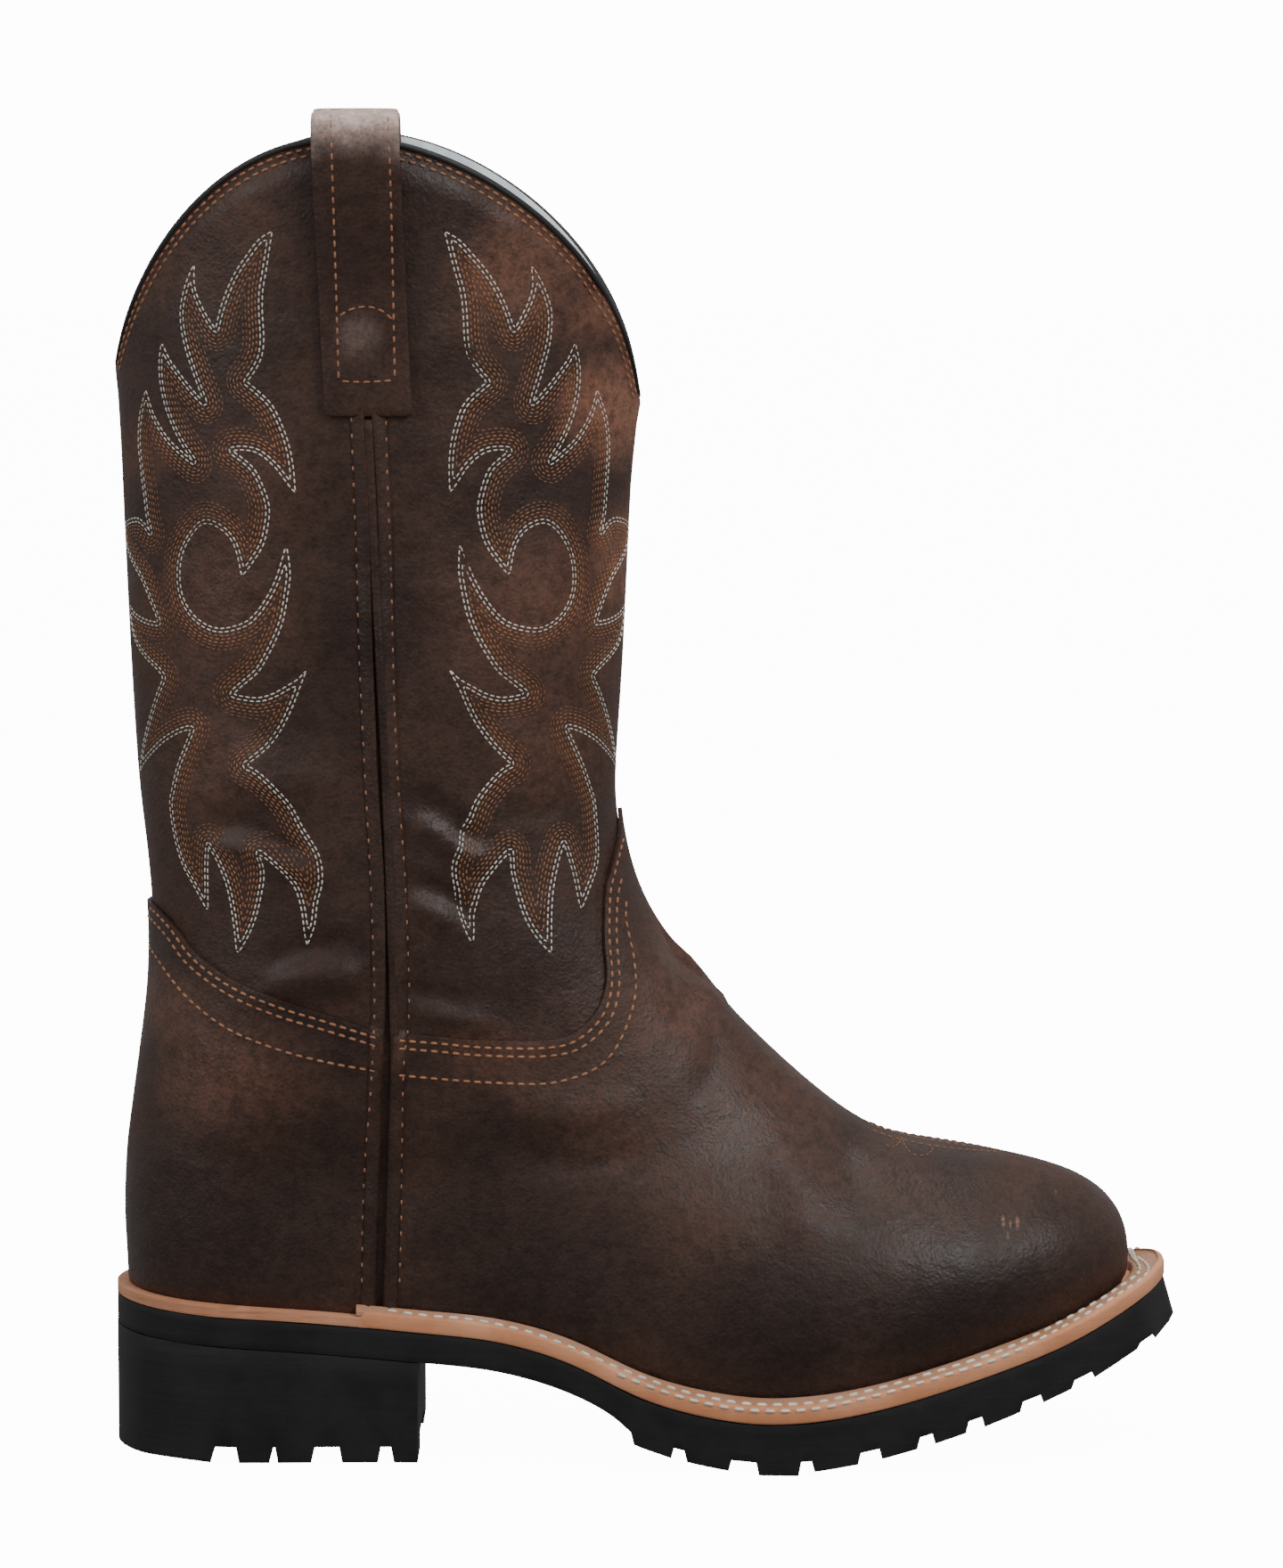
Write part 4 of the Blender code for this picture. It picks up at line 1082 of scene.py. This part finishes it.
seamStitch = {"pitch": 0.0031, "length": 0.0024, "width": 0.00092, "height": 0.00045}
seamRows = [
    # along the vamp's edge
    [(446, 1168), (496, 1172), (540, 1176), (608, 1177), (646, 1169), (676, 1141), (687, 1103), (684, 1053),
     (685, 1003), (690, 980), (700, 940)],
    [(446, 1177), (496, 1181), (540, 1185), (610, 1186), (651, 1177), (684, 1146), (695, 1105), (692, 1053),
     (693, 1010), (698, 985)],
    [(446, 1207), (500, 1212), (562, 1216), (619, 1216), (668, 1200), (694, 1172), (712, 1123), (712, 1079),
     (703, 1035), (703, 1010)],
    # along the counter's edge
    [(424, 1166), (364, 1147), (318, 1133), (272, 1115), (240, 1096), (213, 1073), (192, 1044), (176, 1026), (168, 1019)],
    [(424, 1175), (362, 1156), (315, 1142), (268, 1123), (235, 1103), (207, 1079), (187, 1051), (172, 1034), (166, 1028)],
    [(424, 1203), (373, 1194), (320, 1181), (267, 1161), (232, 1139), (201, 1110), (170, 1066), (162, 1050)],
]
for row in seamRows:
    near = onPhoto(row, leatherTree)
    sewRow("seamStitching", near, **seamStitch)
    sewRow("seamStitching", otherSide(near, leatherTree), **seamStitch)

toeRows = [
    [(975, 1262), (1003, 1271), (1040, 1279), (1076, 1285), (1131, 1290)],
    [(978, 1268), (1003, 1277), (1040, 1285), (1076, 1290), (1120, 1293)],
    [(993, 1284), (1000, 1288), (1008, 1284), (1012, 1277)],
    [(1012, 1277), (1018, 1290), (1028, 1297), (1040, 1296), (1047, 1290), (1042, 1285)],
]
toeStitch = {"pitch": 0.0024, "length": 0.0018, "width": 0.0006, "height": 0.0003}
for row in toeRows:
    near = onPhoto(row, leatherTree)
    sewRow("toeStitching", near, **toeStitch)
    sewRow("toeStitching", otherSide(near, leatherTree), **toeStitch)

strapStitch = {"pitch": 0.0031, "length": 0.0023, "width": 0.0007, "height": 0.00035}
strapRows = [
    [(371, 122), (373, 200), (377, 320), (380, 427)],
    [(435, 124), (438, 200), (441, 320), (443, 425)],
    [(382, 428), (411, 429), (441, 427)],
    [(380, 356), (388, 350), (402, 345), (418, 345), (432, 351), (441, 360)],
]
strapBoth = surfaceTree([strapOuter, strapInner])
for row in strapRows:
    near = onPhoto(row, strapTree)
    sewRow("strapStitching", near, **strapStitch)
    sewRow("strapStitching", otherSide(near, strapBoth), **strapStitch)

besideRows = [
    [(394, 462), (397, 554), (400, 625), (403, 735), (409, 861), (415, 972), (420, 1105), (419, 1168),
     (415, 1239), (410, 1297), (407, 1376), (406, 1446)],
    [(433, 466), (435, 545), (439, 650), (442, 777), (447, 882), (455, 994), (459, 1128), (453, 1199),
     (451, 1297), (450, 1376), (448, 1446)],
]
besideStitch = {"pitch": 0.0046, "length": 0.0016, "width": 0.0007, "height": 0.0003}
for row in besideRows:
    near = onPhoto(row, leatherTree)
    sewRow("besideSeamStitching", near, **besideStitch)
    sewRow("besideSeamStitching", otherSide(near, leatherTree), **besideStitch)


# the collar's two rows, parallel to its edge
collarRows = {"down": (0.0024, 0.0043), "seamGap": 0.0003, "reach": 0.02, "near": 0.01}
for down in collarRows["down"]:
    for side in (-1.0, 1.0):
        path = []
        chosen = [k for k in range(len(rimPlaces)) if rimPlaces[k][1] * side > collarRows["seamGap"]]
        chosen.sort(key=lambda k: rimPlaces[k][0])
        for k in chosen:
            spot = Vector(rimPlaces[k] - rimUps[k] * down)
            out = Vector(rimOuts[k])
            hit, normal = leatherTree.ray_cast(spot + out * collarRows["reach"], -out)[:2]
            if hit is not None and (hit - spot).length < collarRows["near"]:
                path.append((hit, normal))
        sewRow("collarStitching", path, **seamStitch)


# the embroidery: one motif, laid on the four quarters of the shaft
motif = [
    [(499, 260), (515, 269), (531, 286), (547, 305), (561, 328), (571, 351), (577, 370)],
    [(577, 370), (584, 358), (593, 339), (598, 320), (596, 297)],
    [(596, 297), (605, 311), (613, 328), (619, 349), (619, 370), (616, 391), (609, 417), (598, 452)],
    [(598, 452), (611, 438), (626, 419), (638, 402), (645, 384)],
    [(645, 384), (650, 404), (651, 429), (647, 455), (639, 480), (629, 501), (618, 518)],
    [(618, 518), (631, 507), (647, 491), (662, 465), (670, 437)],
    [(670, 437), (680, 465), (684, 495), (683, 524), (681, 554), (679, 579), (675, 597)],
    [(675, 597), (683, 585), (693, 581), (705, 587), (706, 600), (704, 613), (698, 629), (687, 650), (677, 676),
     (669, 698)],
    [(669, 698), (683, 695), (696, 687), (704, 677)],
    [(704, 677), (703, 697), (696, 718), (687, 735), (674, 749), (666, 759)],
    [(666, 759), (674, 777), (683, 806), (689, 836), (692, 863)],
    [(692, 863), (681, 844), (668, 831), (651, 821), (637, 817)],
    [(637, 817), (647, 840), (656, 861), (664, 886), (668, 900), (671, 936), (671, 967), (663, 994), (652, 1022)],
    [(652, 1022), (647, 998), (641, 972), (633, 947)],
    [(633, 947), (627, 967), (621, 998), (619, 1034), (619, 1071)],
    [(619, 1071), (602, 1052), (589, 1030), (580, 1003), (574, 978), (573, 956)],
    [(573, 956), (558, 972), (542, 994), (533, 1021), (531, 1061)],
    [(531, 1061), (520, 1039), (512, 1012), (508, 985), (512, 958), (520, 927), (533, 900), (549, 878), (564, 863),
     (574, 858)],
    [(574, 858), (559, 844), (546, 829), (534, 812), (523, 791), (515, 772), (504, 751)],
    [(504, 751), (515, 762), (529, 770), (546, 779), (565, 783), (590, 779)],
    [(590, 779), (576, 768), (559, 754), (546, 735), (534, 714), (525, 693), (519, 667), (515, 642), (516, 610)],
    [(516, 610), (523, 629), (534, 653), (548, 676), (565, 695), (584, 703), (605, 705), (622, 697), (635, 682),
     (642, 663), (643, 642), (639, 621), (630, 602), (620, 591), (609, 587), (595, 592), (583, 604), (576, 621),
     (572, 647)],
    [(572, 647), (561, 634), (546, 613), (539, 592), (536, 570), (540, 549), (548, 528), (559, 516), (572, 506)],
    [(572, 506), (559, 505), (542, 509), (525, 524), (515, 539), (505, 554)],
    [(505, 554), (504, 524), (506, 499), (512, 474), (521, 453), (538, 436), (547, 429)],
    [(547, 429), (536, 417), (525, 400), (521, 379), (520, 354), (517, 328), (510, 303), (499, 260)],
]
axisLine = [(401, 263), (408, 380), (413, 465), (419, 566), (422, 692), (428, 861), (436, 994), (437, 1128)]
embroidery = {
    "axisX": 0.023,
    "level": 0.23,
    "cell": 0.0004,
    "step": 0.0008,
    "shortest": 0.004,
    # how far inside the motif's edge each row lies
    "whiteRows": (0.0, 0.00105),
    "rustRows": (0.0021, 0.0031, 0.0041),
    "brownRows": (0.0051, 0.0061),
}
skinTree = surfaceTree([upperWall])


def roundTheShaft():
    # arc length from the outer side, over the direction seen from the shaft's axis
    turns = np.radians(np.linspace(-89.0, 89.0, 179))
    axis = Vector((embroidery["axisX"], 0.0, embroidery["level"]))
    hits = []
    for turn in turns:
        way = Vector((math.sin(turn), -math.cos(turn), 0.0))
        hits.append(tuple(skinTree.ray_cast(axis + way * farOut, -way)[0]))
    hits = np.array(hits)
    arc = np.concatenate(([0.0], np.cumsum(np.linalg.norm(np.diff(hits, axis=0), axis=1))))
    return turns, arc - np.interp(0.0, turns, arc)


turnTable, arcTable = roundTheShaft()


def arcOf(place):
    turn = math.atan2(place.x - embroidery["axisX"], -place.y)
    return float(np.interp(turn, turnTable, arcTable))


def onShaft(arc, z, side):
    turn = float(np.interp(arc, arcTable, turnTable))
    way = Vector((math.sin(turn), side * math.cos(turn), 0.0))
    axis = Vector((embroidery["axisX"], 0.0, z))
    return skinTree.ray_cast(axis + way * farOut, -way)[:2]


def flatPlace(px, py):
    # a point of the photo as (arc, height) on the shaft; just past the outline it slides back onto it
    for step in range(14):
        origin, direction = photoRay(px - step, py)
        place = skinTree.ray_cast(origin, direction)[0]
        if place is not None and place.y < 0.0:
            return arcOf(place), place.z
    return None


axisFlat = sorted((flatPlace(x, y)[::-1] for x, y in axisLine))


def axisArc(z):
    return float(np.interp(z, [a[0] for a in axisFlat], [a[1] for a in axisFlat]))


def motifOutline():
    outline = []
    for part in motif:
        flat = [flatPlace(x, y) for x, y in part]
        flat = [(arc - axisArc(z), z, 0.0) for arc, z in flat]
        outline += [(p.x, p.y) for p in smoothLine(flat, 6)][:-1]
    return np.array(outline)


def distanceGrid(outline, cell):
    # signed distance to a closed outline on a grid, above 0 inside it
    low = outline.min(0) - 3 * cell
    count = np.ceil((outline.max(0) + 3 * cell - low) / cell).astype(int)
    xs, ys = np.meshgrid(low[0] + cell * np.arange(count[0]), low[1] + cell * np.arange(count[1]), indexing="ij")
    best = np.full(xs.shape, 1e9)
    inside = np.zeros(xs.shape, bool)
    ahead = np.roll(outline, -1, axis=0)
    for (ax, ay), (bx, by) in zip(outline, ahead):
        dx, dy = bx - ax, by - ay
        t = np.clip(((xs - ax) * dx + (ys - ay) * dy) / max(dx * dx + dy * dy, 1e-14), 0.0, 1.0)
        best = np.minimum(best, (xs - ax - t * dx) ** 2 + (ys - ay - t * dy) ** 2)
        if ay == by:
            continue
        crossing = (ay > ys) != (by > ys)
        inside ^= crossing & (xs < ax + (ys - ay) / (by - ay) * dx)
    return low, np.where(inside, 1.0, -1.0) * np.sqrt(best)


def contourLines(grid, low, cell, level):
    # lines along which a grid of values passes a level, by marching squares
    value = grid - level
    value[value == 0.0] = 1e-12
    above = value > 0.0
    corners = above[:-1, :-1].astype(int) + above[1:, :-1] + above[:-1, 1:] + above[1:, 1:]
    links = {}

    def crossing(i, j, k, m):
        share = value[i, j] / (value[i, j] - value[k, m])
        return (low[0] + cell * (i + (k - i) * share), low[1] + cell * (j + (m - j) * share))

    points = {}
    for i, j in zip(*np.nonzero((corners > 0) & (corners < 4))):
        edges = []
        near, right, up, far = (i, j), (i + 1, j), (i, j + 1), (i + 1, j + 1)
        for a, b in ((near, right), (right, far), (up, far), (near, up)):
            if above[a] != above[b]:
                points[a, b] = crossing(*a, *b)
                edges.append((a, b))
        for first, second in zip(edges[0::2], edges[1::2]):
            links.setdefault(first, []).append(second)
            links.setdefault(second, []).append(first)
    lines, seen = [], set()
    for start in sorted(links, key=lambda e: len(links[e])):
        if start in seen:
            continue
        line, at = [], start
        while at is not None:
            seen.add(at)
            line.append(points[at])
            at = next((n for n in links[at] if n not in seen), None)
        if len(links[start]) == 2 and len(line) > 8:
            line.append(line[0])
        lines.append(line)
    return lines


motifEdge = motifOutline()
gridLow, motifGrid = distanceGrid(motifEdge, embroidery["cell"])
print("motif grid", motifGrid.shape, "deepest", round(float(motifGrid.max()), 4))
whiteStitch = {"pitch": 0.0020, "length": 0.0016, "width": 0.00046, "height": 0.00022}
rustStitch = {"pitch": 0.0019, "length": 0.0014, "width": 0.00046, "height": 0.00018}
for kind, rows, stitch in (("whiteEmbroidery", embroidery["whiteRows"], whiteStitch),
                           ("rustEmbroidery", embroidery["rustRows"], rustStitch),
                           ("brownEmbroidery", embroidery["brownRows"], rustStitch)):
    for level in rows:
        if level == 0.0:
            lines = [list(map(tuple, motifEdge)) + [tuple(motifEdge[0])]]
        else:
            lines = contourLines(motifGrid.copy(), gridLow, embroidery["cell"], level)
        for line in lines:
            line = np.array(line)
            steps = np.concatenate(([0.0], np.cumsum(np.linalg.norm(np.diff(line, axis=0), axis=1))))
            if steps[-1] < embroidery["shortest"]:
                continue
            ats = np.linspace(0.0, steps[-1], int(steps[-1] / embroidery["step"]) + 2)
            flat = [(np.interp(a, steps, line[:, 0]), np.interp(a, steps, line[:, 1])) for a in ats]
            for side in (-1.0, 1.0):
                for way in (1.0, -1.0):
                    path = []
                    for across, z in flat:
                        place, normal = onShaft(axisArc(z) + way * across, z, side)
                        if place is not None:
                            path.append((place, normal))
                    sewRow(kind + ("Outer" if side < 0 else "Inner"), path, **stitch)
print("embroidery sewn")


# white stitches along the welt
weltTree = surfaceTree([weltPiece, weltEdge])
weltStitch = {"pitch": 0.0044, "length": 0.0033, "width": 0.0012, "height": 0.0006}
weltRows = [
    [(432, 1470), (480, 1477), (520, 1480), (560, 1487), (600, 1497), (640, 1512), (680, 1530), (720, 1546),
     (760, 1560), (800, 1570), (840, 1576), (880, 1577), (920, 1574), (960, 1565), (1000, 1555), (1040, 1543),
     (1080, 1531), (1120, 1518), (1160, 1500), (1200, 1479), (1240, 1456), (1262, 1441), (1275, 1432), (1279, 1425),
     (1277, 1418), (1270, 1411)],
    [(690, 1541), (720, 1553), (760, 1567), (800, 1577), (840, 1583), (880, 1584), (920, 1581), (960, 1572),
     (1000, 1562), (1040, 1550), (1080, 1538), (1120, 1525), (1160, 1507), (1200, 1486), (1240, 1463), (1265, 1447),
     (1283, 1434), (1289, 1426), (1286, 1418), (1276, 1411)],
]
for row in weltRows:
    near = onPhoto(row, weltTree)
    sewRow("weltStitching", near, **weltStitch)
    sewRow("weltStitching", otherSide(near, weltTree), **weltStitch)

makeThreads({
    "seamStitching": brownThread, "strapStitching": brownThread, "besideSeamStitching": brownThread,
    "collarStitching": brownThread, "toeStitching": darkThread, "weltStitching": creamThread,
    "whiteEmbroideryOuter": paleThread, "whiteEmbroideryInner": paleThread,
    "rustEmbroideryOuter": rustThread, "rustEmbroideryInner": rustThread,
    "brownEmbroideryOuter": darkThread, "brownEmbroideryInner": darkThread,
})


# floor and light
studio = {
    "floorSize": 12.0,
    "floorColour": (0.93, 0.93, 0.93, 1.0),
    "floorRoughness": 0.9,
    "white": (1.0, 1.0, 1.0, 1.0),
    "floorGlow": 13.0,
    "backdrop": 14.0,
    "sky": 0.50,
    "ground": 0.20,
    "domeEdge": (-0.35, 0.25),
    "key": {"place": (1.3, -1.3, 1.5), "aim": (0.08, 0.0, 0.18), "size": 0.9, "power": 20.0},
    "top": {"place": (0.1, 0.1, 1.7), "aim": (0.06, 0.0, 0.2), "size": 1.0, "power": 8.0},
    "left": {"place": (-1.4, -0.9, 0.9), "aim": (0.06, 0.0, 0.2), "size": 0.8, "power": 7.0},
}
bpy.ops.mesh.primitive_plane_add(size=studio["floorSize"], location=(0.0, 2.0, 0.0))
floor = bpy.context.active_object
floor.name = "floor"
floorFinish, floorTree, floorShader = newMaterial("paleFloor")
floorShader.inputs["Base Color"].default_value = studio["floorColour"]
floorShader.inputs["Roughness"].default_value = studio["floorRoughness"]
floorShader.inputs["Emission Color"].default_value = studio["white"]
floorShader.inputs["Emission Strength"].default_value = studio["floorGlow"]
floor.data.materials.append(floorFinish)
# the glowing floor stays white in the picture and lights nothing
floor.visible_diffuse = False
floor.visible_glossy = False
world = bpy.context.scene.world or bpy.data.worlds.new("studio")
bpy.context.scene.world = world
world.use_nodes = True
worldTree = world.node_tree
backdrop = worldTree.nodes["Background"]
backdrop.inputs["Color"].default_value = studio["white"]
way = addNode(worldTree, "ShaderNodeTexCoord").outputs["Generated"]
height = addNode(worldTree, "ShaderNodeSeparateXYZ", {"Vector": way}).outputs["Z"]
dome = remap(worldTree, height, *studio["domeEdge"], studio["ground"], studio["sky"])
seen = addNode(worldTree, "ShaderNodeLightPath").outputs["Is Camera Ray"]
strength = addNode(worldTree, "ShaderNodeMix", {0: seen, 2: dome, 3: studio["backdrop"]}, data_type="FLOAT")
setSocket(worldTree, backdrop.inputs["Strength"], strength.outputs[0])
for name in ("key", "top", "left"):
    lamp = studio[name]
    data = bpy.data.lights.new(name + "Light", "AREA")
    data.shape = "DISK"
    data.size = lamp["size"]
    data.energy = lamp["power"]
    light = bpy.data.objects.new(name + "Light", data)
    bpy.context.scene.collection.objects.link(light)
    light.location = lamp["place"]
    light.rotation_euler = (Vector(lamp["aim"]) - Vector(lamp["place"])).to_track_quat("-Z", "Y").to_euler()

deselectAll()
